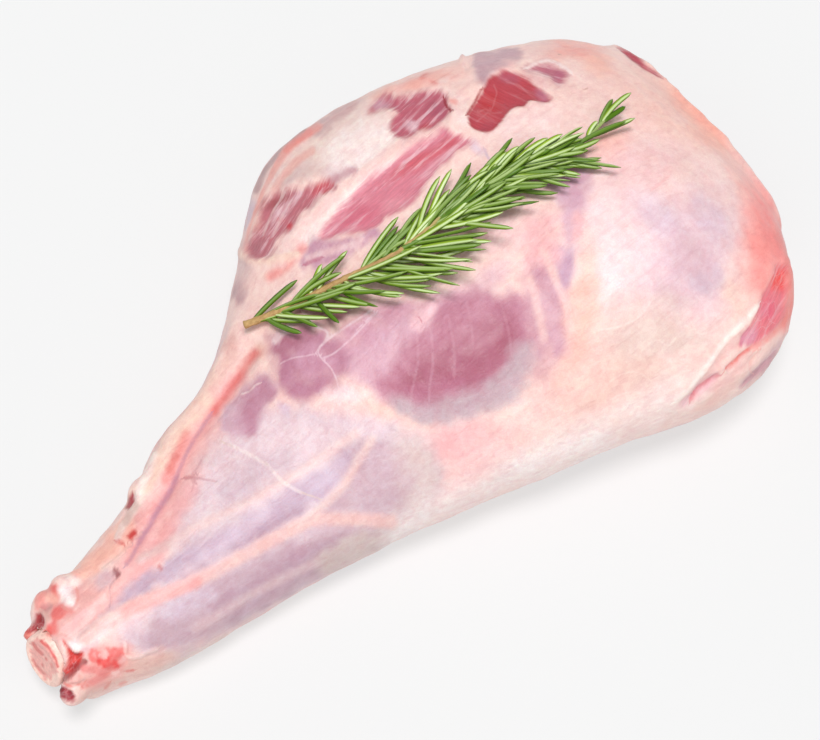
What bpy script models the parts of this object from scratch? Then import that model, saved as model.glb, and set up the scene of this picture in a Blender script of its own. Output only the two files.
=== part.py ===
# Raw leg of lamb on its shank bone, with a sprig of rosemary laid along the top.
import math
import random

import bmesh
import bpy
import numpy as np
from mathutils import Matrix, Vector
from mathutils.bvhtree import BVHTree

MM = 0.001
GAP = 0.3
MERGE = 0.000001

# Leg: outline and height of the meat from the sawn shank to the rump, in millimetres
STATION_X = (-190, -150, -128, -110, -70, -30, 10, 50, 90, 130, 155, 172)
NEAR_EDGE = (-22, -35, -38, -41, -50, -62, -77, -91, -105, -100, -84, -62)
FAR_EDGE = (19, 29, 35, 45, 55, 83, 115, 116, 106, 92, 81, 66)
TOP_HEIGHT = (40, 44, 46, 49, 59, 72, 84, 93, 95, 88, 76, 60)
RIDGE_SIDE = (-3, -3, -3, -3, 0, 6, 14, 19, 19, 12, 8, 5)
WIDEST_HEIGHT = (18, 18, 19, 20, 24, 29, 35, 37, 38, 37, 36, 36)
FULLNESS = 2.3
SAG = 1.25
RING_COUNT = 54
RING_POINTS = 40
END_ROUND_STEPS = 4
SHANK_END_DEPTH = 6
SHANK_END_INSET = 0.34
RUMP_END_DEPTH = 6
RUMP_SKEW = 0.09
SKEW_START = 125
RUMP_END_INSET = 0.12
CUT_FACE_SCALE = 0.8
CUT_FACE_SINK = 1.5
BASE_CLEAR = 6
BASE_BLEND = 10

# Forms on the skin: points along each, how far it reaches and how much it rises, in millimetres
TENDON = (((-131, 30, 38), (-117, 34, 41), (-93, 43, 44), (-68, 49, 48), (-50, 56, 53)), 10, 3.0)
VEIN_FURROW = (((-56, 42, 57), (-72, 35, 54), (-85, 31, 50), (-101, 25, 48), (-123, 15, 46),
                (-141, 5, 45)), 8, -3.0)
CALF = (((-150, -16, 43), (-120, -16, 47), (-92, -14, 53)), 20, 2.0)
KNEE_DIP = (((-64, -8, 62), (-62, -30, 57)), 14, -1.6)
ROUND_MUSCLE = (((-38, 12, 71), (-14, -8, 77), (10, -26, 79)), 34, 2.6)
THIGH_FURROW = (((44, -2, 90), (38, -34, 85), (30, -62, 72)), 16, -2.2)
INNER_FURROW = (((-24, 70, 67), (8, 57, 81), (42, 62, 88), (70, 58, 92)), 9, -1.8)
UPPER_HOLLOW = (((84, 44, 94), (98, 48, 93), (110, 50, 90)), 13, -2.6)
RUMP_DOME = (((84, -40, 90), (110, -40, 87)), 42, 3.0)
FLANK_LIP = (((150, -66, 58), (125, -84, 62), (98, -90, 60), (72, -96, 55)), 7, 1.8)
FLANK_CUT = (((152, -76, 44), (134, -93, 45), (112, -98, 50), (84, -101, 48)), 8, -3.0)
FORMS = (TENDON, VEIN_FURROW, CALF, KNEE_DIP, ROUND_MUSCLE, THIGH_FURROW, INNER_FURROW,
         UPPER_HOLLOW, RUMP_DOME, FLANK_LIP, FLANK_CUT)

# Lumps of gristle, fat and muscle ends round the shank: centre, radii and turn in degrees
LUMPS = (
    ("far_knob", (-185, 17, 27), (8, 7, 8), 20),
    ("red_flap", (-194, 13, 22), (6, 3.5, 6), -20),
    ("gristle", (-177, 16, 33), (7, 6, 8), 35),
    ("gristle_bump", (-169, 15, 32), (6, 5, 8), 25),
    ("near_fat_lump", (-194, -13, 28), (6, 5.5, 6), -15),
    ("muscle_end", (-197, -17, 21), (8, 5.5, 7.5), 10),
    ("tendon_end", (-125, 30, 33), (8, 6, 8), 22),
)
LUMP_SEGMENTS = 14
LUMP_RINGS = 8

# Shank bone: sawn across at the hock
BONE_FACE = (-201.5, 0, 25)
BONE_RADIUS = 11.6
BONE_WAIST = 9.5
BONE_HIDDEN = 72
BONE_SLOPE = 2.0
SAW_TILT = 15.0
RIM_WIDTH = 2.2
RIM_ROUND = 0.8
MARROW_SINK = 0.7
BONE_SIDES = 32
SAW_FADE = 14.0
# Depth as a share of the hidden length, and how much of the swell at the joint is left
BONE_SHAFT = ((0.12, 1.0), (0.3, 0.5), (0.5, 0.0), (0.92, 0.0))
BONE_CLOSE = (0.98, 0.7)
MARROW_EDGE = 3.1

# Rosemary: stem laid along the top of the leg, seen from above, in millimetres
STEM_PATH = ((-50, 49), (-29, 36), (-10, 28), (8, 21), (42, 18), (67, 16), (85, 10), (100, 5), (121, 8))
STEM_BASE_RADIUS = 1.7
STEM_TIP_RADIUS = 0.7
STEM_LIFT = 4.5
STEM_STEPS = 40
STEM_BEVEL_STEPS = 2
STEM_SMOOTHING = 5
HEADING_REACH = 4.0
BUSHY_START = 52.0
BUSHY_END = 146.0
CLOSED_START = 97.0
NODE_SPACING = 4.4
NEAR_ANGLES = (-44.0, -24.0)
FAR_ANGLES = (31.0, 8.0)
CLOSED_ANGLE = 7.0
ANGLE_SPREAD = 6.0
NEAR_LENGTH = 33.0
FAR_LENGTH = 26.0
LENGTH_SPREAD = 2.5
TIP_SHORTENING = 0.25
NEEDLE_WIDTH = 2.3
NEEDLE_THICKNESS = 1.3
# Distance along a needle and its share of the full width there
NEEDLE_SHAPE = ((0, 0.4), (0.35, 1.0), (0.84, 0.75), (1.0, 0.18))
NEEDLE_RISES = (-6.0, 14.0)
NEEDLE_CLEAR = 1.0
NEEDLE_SIDES = 4
NEEDLE_DROOP = 0.5
SKY = 1000
ROSEMARY_SEED = 7

# Needles by the bare foot of the sprig and round its tip: place on the stem, angle, length, rise
LOOSE_NEEDLES = (
    (3, 30, 26, 6), (6, 3, 29, 12), (4, -8, 21, 6), (7, -27, 25, -4), (9, -53, 23, -6),
    (19, 24, 31, 12), (19, 17, 27, 8), (28, 52, 15, 4), (26, -20, 24, 10), (21, -38, 28, -6),
    (23, -33, 31, -4), (30, -78, 23, -8), (35, -43, 29, 6), (43, -56, 30, 0), (37, -27, 35, 6),
    (43, -12, 36, 12), (48, -40, 36, 0), (50, -48, 34, -4), (51, 38, 28, 4),
    (139, 7, 22, 6), (146, -40, 18, -2), (146, -16, 16, 4), (157, 2, 26, 8), (164, -18, 25, 4),
    (165, 21, 10, 10), (174, 16, 16, 6), (175, 3, 22, 10), (176, -12, 14, 4),
)

# Colours, roughness
MEAT_COLOR = (0.90, 0.70, 0.68, 1.0)
BONE_COLOR = (0.87, 0.66, 0.58, 1.0)
NEEDLE_COLOR = (0.14, 0.27, 0.05, 1.0)
MEAT_ROUGHNESS = 0.38
BONE_ROUGHNESS = 0.5
NEEDLE_ROUGHNESS = 0.42

# Edges sharper than these angles stay crisp
MEAT_EDGE = 60
BONE_EDGE = 40
NEEDLE_EDGE = 50


def smooth_table(x, knots, values):
    """Reads a table between its knots along a smooth curve."""
    knots = np.asarray(knots, float)
    values = np.asarray(values, float)
    step = np.diff(knots)
    slope = np.diff(values) / step
    tangent = np.empty_like(values)
    tangent[0] = slope[0]
    tangent[-1] = slope[-1]
    tangent[1:-1] = (slope[:-1] * step[1:] + slope[1:] * step[:-1]) / (step[1:] + step[:-1])
    i = np.clip(np.searchsorted(knots, x) - 1, 0, len(knots) - 2)
    t = np.clip((x - knots[i]) / step[i], 0, 1)
    start = (2 * t**3 - 3 * t**2 + 1) * values[i]
    leave = (t**3 - 2 * t**2 + t) * step[i] * tangent[i]
    end = (3 * t**2 - 2 * t**3) * values[i + 1]
    arrive = (t**3 - t**2) * step[i] * tangent[i + 1]
    return start + leave + end + arrive


def signed_power(value, power):
    return np.sign(value) * np.abs(value) ** power


def material(name, color, roughness):
    made = bpy.data.materials.new(name)
    made.use_nodes = True
    shader = made.node_tree.nodes["Principled BSDF"]
    shader.inputs["Base Color"].default_value = color
    shader.inputs["Roughness"].default_value = roughness
    shader.inputs["Metallic"].default_value = 0.0
    made.diffuse_color = color
    return made


def new_object(name, vertices, faces, collection):
    """Makes a mesh object from points in millimetres."""
    mesh = bpy.data.meshes.new(name)
    mesh.from_pydata([tuple(float(c) * MM for c in v) for v in vertices], [], faces)
    mesh.validate()
    mesh.update()
    made = bpy.data.objects.new(name, mesh)
    collection.objects.link(made)
    return made


def loft_faces(ring_count, ring_points):
    """Faces between rings of equal count, with a fan of triangles on a middle point at each end."""
    faces = []
    for ring in range(ring_count - 1):
        for k in range(ring_points):
            a = ring * ring_points + k
            b = ring * ring_points + (k + 1) % ring_points
            faces.append((a, b, b + ring_points, a + ring_points))
    first = ring_count * ring_points
    last = first + 1
    tail = (ring_count - 1) * ring_points
    for k in range(ring_points):
        after = (k + 1) % ring_points
        faces.append((first, after, k))
        faces.append((last, tail + k, tail + after))
    return faces


def face_outward(target):
    shell = bmesh.new()
    shell.from_mesh(target.data)
    bmesh.ops.recalc_face_normals(shell, faces=shell.faces)
    shell.to_mesh(target.data)
    shell.free()


def shade_round(target, angle):
    target.data.shade_smooth()
    target.data.set_sharp_from_angle(angle=math.radians(angle))


def apply_modifiers(target):
    """Replaces the mesh by what its modifiers make of it."""
    graph = bpy.context.evaluated_depsgraph_get()
    made = bpy.data.meshes.new_from_object(target.evaluated_get(graph))
    before = target.data
    target.modifiers.clear()
    target.data = made
    bpy.data.meshes.remove(before)


def combine(target, cutters, operation, solver="EXACT"):
    """Joins or cuts the target by all the objects of a collection in one step, and drops them."""
    step = target.modifiers.new(operation.lower(), "BOOLEAN")
    step.operation = operation
    step.operand_type = "COLLECTION"
    step.collection = cutters
    step.solver = solver
    apply_modifiers(target)
    for used in list(cutters.objects):
        bpy.data.objects.remove(used)


def keep_largest_piece(target):
    """Drops loose scraps and fills sealed hollows, so that one solid is left."""
    shell = bmesh.new()
    shell.from_mesh(target.data)
    left = set(shell.verts)
    pieces = []
    while left:
        front = [left.pop()]
        piece = list(front)
        while front:
            for edge in front.pop().link_edges:
                for vertex in edge.verts:
                    if vertex in left:
                        left.remove(vertex)
                        front.append(vertex)
                        piece.append(vertex)
        pieces.append(piece)
    pieces.sort(key=len)
    for scrap in pieces[:-1]:
        bmesh.ops.delete(shell, geom=scrap, context="VERTS")
    shell.to_mesh(target.data)
    shell.free()


def section(x):
    """Outline of the leg across its length at x: an egg shape, flattened where it rests."""
    near = smooth_table(x, STATION_X, NEAR_EDGE)
    far = smooth_table(x, STATION_X, FAR_EDGE)
    top = smooth_table(x, STATION_X, TOP_HEIGHT)
    ridge = smooth_table(x, STATION_X, RIDGE_SIDE)
    widest = smooth_table(x, STATION_X, WIDEST_HEIGHT)
    angle = np.linspace(0, 2 * math.pi, RING_POINTS, endpoint=False)
    across = signed_power(np.cos(angle), 2 / FULLNESS)
    up = signed_power(np.sin(angle), 2 / FULLNESS)
    y = ridge + np.where(across >= 0, far - ridge, ridge - near) * across
    z = np.where(up >= 0, widest + (top - widest) * up, widest * (1 + SAG * up))
    ring = np.stack([np.full_like(y, x), y, np.maximum(z, 0)], 1)
    return ring, np.array([x, ridge, widest])


def end_rings(x, direction, depth, inset):
    """Rounds off an end of the leg with rings that close in."""
    ring, middle = section(x)
    rings = []
    for k in range(1, END_ROUND_STEPS + 1):
        turn = 0.5 * math.pi * k / END_ROUND_STEPS
        scale = 1 - inset * (1 - math.cos(turn))
        closer = middle + (ring - middle) * scale
        closer[:, 0] = x + direction * depth * math.sin(turn)
        rings.append(closer)
    return rings, middle


def distance_to_path(points, path):
    """Distance of each point from a line through the points of a path."""
    path = np.asarray(path, float)
    nearest = np.full(len(points), np.inf)
    for a, b in zip(path[:-1], path[1:]):
        along = b - a
        t = np.clip((points - a) @ along / (along @ along), 0, 1)
        nearest = np.minimum(nearest, np.linalg.norm(points - a - t[:, None] * along, axis=1))
    return nearest


def add_forms(target):
    """Raises and sinks the skin along its normals by the named forms."""
    mesh = target.data
    points = np.array([v.co for v in mesh.vertices]) / MM
    normals = np.array([v.normal for v in mesh.vertices])
    rise = np.zeros(len(points))
    for path, reach, height in FORMS:
        nearness = np.clip(1 - (distance_to_path(points, path) / reach) ** 2, 0, 1)
        rise += height * nearness**2
    rise *= np.clip((points[:, 2] - BASE_CLEAR) / BASE_BLEND, 0, 1)
    moved = (points + normals * rise[:, None]) * MM
    for vertex, place in zip(mesh.vertices, moved):
        vertex.co = place
    mesh.update()


def make_leg(collection):
    rings = [section(x)[0] for x in np.linspace(STATION_X[0], STATION_X[-1], RING_COUNT)]
    shank_rings, shank_middle = end_rings(STATION_X[0], -1, SHANK_END_DEPTH, SHANK_END_INSET)
    rump_rings, rump_middle = end_rings(STATION_X[-1], 1, RUMP_END_DEPTH, RUMP_END_INSET)
    face = rump_middle + (rump_rings[-1] - rump_middle) * CUT_FACE_SCALE
    face[:, 0] = rump_rings[-1][0, 0] - CUT_FACE_SINK
    rings = shank_rings[::-1] + rings + rump_rings + [face]
    shank_middle[0] = rings[0][0, 0]
    rump_middle[0] = face[0, 0]
    vertices = np.vstack(rings + [shank_middle[None], rump_middle[None]])
    skew = np.clip((vertices[:, 0] - SKEW_START) / (STATION_X[-1] - SKEW_START), 0, 1)
    vertices[:, 0] += RUMP_SKEW * skew**2 * (vertices[:, 1] - rump_middle[1])
    leg = new_object("leg", vertices, loft_faces(len(rings), RING_POINTS), collection)
    face_outward(leg)
    add_forms(leg)
    return leg


def make_lumps(cutters):
    for name, centre, radii, turn in LUMPS:
        bpy.ops.mesh.primitive_uv_sphere_add(segments=LUMP_SEGMENTS, ring_count=LUMP_RINGS, radius=MM)
        lump = bpy.context.active_object
        lump.name = name
        place = Matrix.Translation(Vector(centre) * MM)
        spin = Matrix.Rotation(math.radians(turn), 4, "Z")
        lump.data.transform(place @ spin @ Matrix.Diagonal((*radii, 1.0)))
        for holder in list(lump.users_collection):
            holder.objects.unlink(lump)
        cutters.objects.link(lump)


def bone_profile(grow):
    """Half outline of the bone, as depth behind the sawn face and radius."""
    radius = BONE_RADIUS + grow
    waist = BONE_WAIST + grow
    back = BONE_HIDDEN + grow
    shaft = [(share * back, waist + swell * (radius - waist)) for share, swell in BONE_SHAFT]
    shaft += [(BONE_CLOSE[0] * back, BONE_CLOSE[1] * waist), (back, 0)]
    if grow:
        return [(-BONE_RADIUS, 0), (-BONE_RADIUS, radius)] + shaft
    marrow = [(MARROW_SINK, 0), (MARROW_SINK, radius - MARROW_EDGE)]
    rim = [(0, radius - RIM_WIDTH), (0, radius - RIM_ROUND), (RIM_ROUND, radius)]
    return marrow + rim + shaft


def make_bone(name, grow, collection):
    """Turns the half outline about the bone's length, then tips the sawn face back."""
    profile = bone_profile(grow)
    points = [(depth, radius, 0) for depth, radius in profile]
    edges = [(i, i + 1) for i in range(len(points) - 1)]
    mesh = bpy.data.meshes.new(name)
    mesh.from_pydata(points, edges, [])
    bone = bpy.data.objects.new(name, mesh)
    collection.objects.link(bone)
    turn = bone.modifiers.new("turn", "SCREW")
    turn.axis = "X"
    turn.angle = 2 * math.pi
    turn.steps = BONE_SIDES
    turn.render_steps = BONE_SIDES
    turn.use_merge_vertices = True
    turn.merge_threshold = MERGE
    apply_modifiers(bone)
    lean = math.tan(math.radians(SAW_TILT))
    for vertex in bone.data.vertices:
        fade = min(max(1 - vertex.co.x / SAW_FADE, 0), 1)
        vertex.co.x += lean * vertex.co.z * fade
    place = Matrix.Translation(Vector(BONE_FACE) * MM)
    slope = Matrix.Rotation(math.radians(BONE_SLOPE), 4, "Y")
    bone.data.transform(place @ slope @ Matrix.Scale(MM, 4))
    face_outward(bone)
    return bone


def stem_course():
    """Evenly spaced plan points along the stem, with their distance from its foot."""
    path = np.asarray(STEM_PATH, float)
    reach = np.concatenate([[0], np.cumsum(np.linalg.norm(np.diff(path, axis=0), axis=1))])
    along = np.linspace(0, reach[-1], STEM_STEPS)
    x = smooth_table(along, reach, path[:, 0])
    y = smooth_table(along, reach, path[:, 1])
    return along, np.stack([x, y], 1)


def height_of(surface, x, y):
    """Height of the leg's skin above a plan point, or None beside the leg."""
    hit = surface.ray_cast(Vector((x, y, SKY)) * MM, Vector((0, 0, -1)))
    return None if hit[0] is None else hit[0].z / MM


def ring_about(centre, direction, width, thickness, count):
    """Flattened ring of points square to a direction."""
    forward = Vector(direction).normalized()
    side = forward.cross(Vector((0, 0, 1))).normalized()
    up = side.cross(forward)
    ring = []
    for k in range(count):
        angle = 2 * math.pi * k / count
        ring.append(Vector(centre) + side * width * math.cos(angle) + up * thickness * math.sin(angle))
    return ring


def tube(name, centres, half_widths, half_thicknesses, count, collection):
    """Closed solid through rings about a row of centres."""
    vertices = []
    last = len(centres) - 1
    for i, centre in enumerate(centres):
        direction = centres[min(i + 1, last)] - centres[max(i - 1, 0)]
        vertices += ring_about(centre, direction, half_widths[i], half_thicknesses[i], count)
    ends = [centres[0], centres[last]]
    made = new_object(name, vertices + ends, loft_faces(len(centres), count), collection)
    face_outward(made)
    return made


def make_stem(name, course, collection):
    """Round tapering stem through a row of points, as a closed mesh."""
    curve = bpy.data.curves.new(name, "CURVE")
    curve.dimensions = "3D"
    curve.bevel_depth = STEM_BASE_RADIUS * MM
    curve.bevel_resolution = STEM_BEVEL_STEPS
    curve.use_fill_caps = True
    spline = curve.splines.new("POLY")
    spline.points.add(len(course) - 1)
    taper = np.linspace(1, STEM_TIP_RADIUS / STEM_BASE_RADIUS, len(course))
    for point, place, width in zip(spline.points, course, taper):
        point.co = (*(place * MM), 1)
        point.radius = width
    guide = bpy.data.objects.new("stem_guide", curve)
    collection.objects.link(guide)
    graph = bpy.context.evaluated_depsgraph_get()
    mesh = bpy.data.meshes.new_from_object(guide.evaluated_get(graph))
    stem = bpy.data.objects.new(name, mesh)
    stem.matrix_world = guide.matrix_world
    collection.objects.link(stem)
    bpy.data.objects.remove(guide)
    shell = bmesh.new()
    shell.from_mesh(mesh)
    bmesh.ops.remove_doubles(shell, verts=shell.verts, dist=MERGE)
    shell.to_mesh(mesh)
    shell.free()
    face_outward(stem)
    return stem


def point_on(along, course, place):
    return Vector([np.interp(place, along, course[:, axis]) for axis in range(3)])


def needle_plan():
    """Place on the stem, angle, length and rise of every needle."""
    draw = random.Random(ROSEMARY_SEED)
    plan = list(LOOSE_NEEDLES)
    place = BUSHY_START
    while place < BUSHY_END:
        shorter = 1 - TIP_SHORTENING * (place - BUSHY_START) / (BUSHY_END - BUSHY_START)
        wide_far, close_far = FAR_ANGLES
        if place > CLOSED_START:
            wide_far = CLOSED_ANGLE
        sides = [(angle, NEAR_LENGTH) for angle in NEAR_ANGLES]
        sides += [(wide_far, FAR_LENGTH), (close_far, FAR_LENGTH)]
        for angle, length in sides:
            plan.append((
                place + draw.uniform(-0.5, 0.5) * NODE_SPACING,
                angle * shorter + draw.gauss(0, ANGLE_SPREAD),
                length * shorter + draw.gauss(0, LENGTH_SPREAD),
                draw.uniform(*NEEDLE_RISES),
            ))
        place += NODE_SPACING
    return plan


def make_rosemary(leg, parts, cutters):
    graph = bpy.context.evaluated_depsgraph_get()
    surface = BVHTree.FromObject(leg, graph)
    along, plan = stem_course()
    ground = np.array([height_of(surface, x, y) for x, y in plan])
    padded = np.pad(ground, STEM_SMOOTHING // 2, "edge")
    ground = np.convolve(padded, np.ones(STEM_SMOOTHING) / STEM_SMOOTHING, "valid")
    stem = np.column_stack([plan, ground + STEM_LIFT])
    rosemary = make_stem("rosemary", stem, parts)
    wide = [NEEDLE_WIDTH / 2 * share for _, share in NEEDLE_SHAPE]
    thick = [NEEDLE_THICKNESS / 2 * share for _, share in NEEDLE_SHAPE]
    for place, angle, length, rise in needle_plan():
        foot = point_on(along, stem, place)
        ahead = point_on(along, stem, place + HEADING_REACH)
        behind = point_on(along, stem, place - HEADING_REACH)
        heading = (ahead - behind).normalized()
        heading.rotate(Matrix.Rotation(math.radians(angle), 3, "Z"))
        points = []
        for t, _ in NEEDLE_SHAPE:
            point = foot + heading * length * t
            point.z += math.tan(math.radians(rise)) * length * t * (1 - NEEDLE_DROOP * t)
            floor = height_of(surface, point.x, point.y)
            if floor is not None:
                point.z = max(point.z, floor + NEEDLE_CLEAR + NEEDLE_THICKNESS / 2)
            points.append(point)
        tube("needle", points, wide, thick, NEEDLE_SIDES, cutters)
    combine(rosemary, cutters, "UNION", "MANIFOLD")
    keep_largest_piece(rosemary)
    return rosemary


def rest_on_origin(objects):
    """Sets the middle of the underside at the origin."""
    corners = np.array([v.co for part in objects for v in part.data.vertices])
    low = corners.min(0)
    high = corners.max(0)
    shift = Matrix.Translation(Vector((-(low[0] + high[0]) / 2, -(low[1] + high[1]) / 2, -low[2])))
    for part in objects:
        part.data.transform(shift)


for old in list(bpy.data.objects):
    bpy.data.objects.remove(old)

parts = bpy.data.collections.new("leg_of_lamb")
cutters = bpy.data.collections.new("cutters")
bpy.context.scene.collection.children.link(parts)
bpy.context.scene.collection.children.link(cutters)

leg = make_leg(parts)
make_lumps(cutters)
combine(leg, cutters, "UNION")
make_bone("bone_bore", GAP, cutters)
combine(leg, cutters, "DIFFERENCE")
keep_largest_piece(leg)
bone = make_bone("shank_bone", 0, parts)
rosemary = make_rosemary(leg, parts, cutters)
rest_on_origin((leg, bone, rosemary))

leg.data.materials.append(material("lamb", MEAT_COLOR, MEAT_ROUGHNESS))
bone.data.materials.append(material("bone", BONE_COLOR, BONE_ROUGHNESS))
rosemary.data.materials.append(material("rosemary", NEEDLE_COLOR, NEEDLE_ROUGHNESS))
shade_round(leg, MEAT_EDGE)
shade_round(bone, BONE_EDGE)
shade_round(rosemary, NEEDLE_EDGE)
bpy.data.collections.remove(cutters)
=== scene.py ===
import math
import random

import bpy
import bmesh
import numpy as np
from mathutils import Matrix, Vector, noise
from mathutils.bvhtree import BVHTree


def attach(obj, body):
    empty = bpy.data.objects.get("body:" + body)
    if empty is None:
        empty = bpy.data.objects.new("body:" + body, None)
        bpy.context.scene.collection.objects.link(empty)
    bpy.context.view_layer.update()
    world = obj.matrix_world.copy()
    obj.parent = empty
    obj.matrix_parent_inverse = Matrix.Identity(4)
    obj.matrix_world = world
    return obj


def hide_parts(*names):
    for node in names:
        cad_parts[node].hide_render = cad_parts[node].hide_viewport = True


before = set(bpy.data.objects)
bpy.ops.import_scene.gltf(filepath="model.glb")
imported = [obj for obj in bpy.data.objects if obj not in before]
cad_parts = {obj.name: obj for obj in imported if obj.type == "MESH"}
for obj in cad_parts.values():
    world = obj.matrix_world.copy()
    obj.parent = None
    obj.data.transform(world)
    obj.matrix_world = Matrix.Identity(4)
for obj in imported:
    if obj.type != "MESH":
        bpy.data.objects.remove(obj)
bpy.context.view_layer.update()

mm = 0.001
farOutside = -30.0  # a point that lies in no cut
noThread = 99.0  # a point that lies by no vein or sinew
farAbove = 1000.0  # mm, well over the leg
curveSteps = 4  # between two points of a drawn line

# The view of the photo, 820 x 740 pixels. The meat is painted from here once, on its own points.
viewPoint = {"azimuth": -42.0, "elevation": 60.0, "distance": 0.99, "target": (0.01103, -0.00625, 0.03),
             "lens": 100.0, "sensor": 36.0, "photoSize": (820, 740)}
pixelsPerMm = viewPoint["photoSize"][0] * viewPoint["lens"] / viewPoint["sensor"] * mm / viewPoint["distance"]


def sightLine():
    azimuth = math.radians(viewPoint["azimuth"])
    elevation = math.radians(viewPoint["elevation"])
    return np.array((math.sin(azimuth) * math.cos(elevation),
                     -math.cos(azimuth) * math.cos(elevation), math.sin(elevation)))


def photoPlaces(points):  # where points in mm show in the photo, in mm from its upper left corner
    azimuth = math.radians(viewPoint["azimuth"])
    right = np.array((math.cos(azimuth), math.sin(azimuth), 0.0))
    away = sightLine()
    gap = points - np.array(viewPoint["target"]) / mm
    nearness = 1 - gap @ away * mm / viewPoint["distance"]
    middle = np.array(viewPoint["photoSize"]) / 2 / pixelsPerMm
    flat = np.column_stack([gap @ right, -(gap @ np.cross(away, right))])
    return middle + flat / nearness[:, None]


def colorOf(hexText):  # sRGB hex to linear
    parts = [int(hexText[i:i + 2], 16) / 255 for i in (0, 2, 4)]
    return [c / 12.92 if c <= 0.04045 else ((c + 0.055) / 1.055) ** 2.4 for c in parts] + [1.0]


def addNode(tree, kind, settings=None, inputs=None, output=0):
    node = tree.nodes.new(kind)
    for name, value in (settings or {}).items():
        setattr(node, name, value)
    for name, value in (inputs or {}).items():
        named = [node.inputs[name]] if isinstance(name, int) else [
            socket for socket in node.inputs if socket.name == name and socket.enabled]
        if isinstance(value, bpy.types.NodeSocket):
            tree.links.new(value, named[0])
        else:
            named[0].default_value = value
    return [socket for socket in node.outputs if socket.enabled][output] if node.outputs else None


def newMaterial(name):
    material = bpy.data.materials.new(name)
    material.use_nodes = True
    material.node_tree.nodes.clear()
    return material, material.node_tree


def deselectAll():
    for thing in bpy.context.selected_objects:
        thing.select_set(False)


def makeActive(piece):
    deselectAll()
    piece.select_set(True)
    bpy.context.view_layer.objects.active = piece


def applyAll(piece):
    makeActive(piece)
    for step in list(piece.modifiers):
        bpy.ops.object.modifier_apply(modifier=step.name)


def smoothStep(value, low, high):
    t = np.clip((value - low) / (high - low), 0, 1)
    return t * t * (3 - 2 * t)


def noiseField(points, size, seed):  # smooth noise from about -1 to 1, size in mm
    shift = Vector((seed * 17.3, seed * 5.1, seed * 9.7))
    return np.array([noise.noise(Vector(p) / size + shift) for p in points])


def readVertices(mesh, what):
    values = np.empty(len(mesh.vertices) * 3)
    mesh.vertices.foreach_get(what, values)
    return values.reshape(-1, 3)


def writeAttribute(mesh, name, values):
    kind = "FLOAT_COLOR" if np.ndim(values) == 2 else "FLOAT"
    layer = mesh.attributes.new(name, kind, "POINT")
    layer.data.foreach_set("color" if kind == "FLOAT_COLOR" else "value", np.ravel(values).astype(np.float32))


def softCurve(points, closed, steps):  # smooth curve through drawn points
    points = np.asarray(points, float)
    count = len(points)
    if closed:
        before, after, beyond = (np.roll(points, shift, 0) for shift in (1, -1, -2))
    else:
        padded = np.vstack([points[:1], points, points[-1:], points[-1:]])
        before, after, beyond = padded[:count], padded[2:count + 2], padded[3:count + 3]
    made = []
    for k in range(count if closed else count - 1):
        a, b, c, d = before[k], points[k], after[k], beyond[k]
        for t in np.linspace(0, 1, steps, endpoint=False):
            made.append(0.5 * (2 * b + (c - a) * t + (2 * a - 5 * b + 4 * c - d) * t**2
                               + (3 * b - a - 3 * c + d) * t**3))
    if not closed:
        made.append(points[-1])
    return np.array(made)


def lineDistance(places, line):  # in mm, and the same again below zero on the line's right
    nearest = np.full(len(places), np.inf)
    left = np.ones(len(places))
    for a, b in zip(line[:-1], line[1:]):
        along = b - a
        t = np.clip((places - a) @ along / max(along @ along, 1e-9), 0, 1)
        gap = places - a - t[:, None] * along
        square = np.einsum("ij,ij->i", gap, gap)
        left = np.where(square < nearest, np.sign(along[0] * gap[:, 1] - along[1] * gap[:, 0]), left)
        nearest = np.minimum(nearest, square)
    return np.sqrt(nearest), np.sqrt(nearest) * left


def outlineDistance(places, outline):  # in mm, above zero inside the outline
    closed = np.vstack([outline, outline[:1]])
    inside = np.zeros(len(places), bool)
    x, y = places[:, 0], places[:, 1]
    for a, b in zip(closed[:-1], closed[1:]):
        if a[1] != b[1]:
            crosses = (a[1] > y) != (b[1] > y)
            inside ^= crosses & (x < (b[0] - a[0]) * (y - a[1]) / (b[1] - a[1]) + a[0])
    away = lineDistance(places, closed)[0]
    return np.where(inside, away, -away)


# Camera, floor and light
studio = {
    "floorSize": 6.0, "floorColors": ("9a9595", "9b9696"), "floorNoise": 3.0,
    "floorGlow": (0.535, 0.565, 0.565),
    "worldStrength": 0.28,
    # soft lights: strength, spread, where from (to the viewer's right, away from the viewer, up)
    "lights": {"key": (2.2, 22.0, (0.02, -0.13, 1.0)), "fill": (0.9, 100.0, (0.1, -0.9, 1.0))},
}


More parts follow.
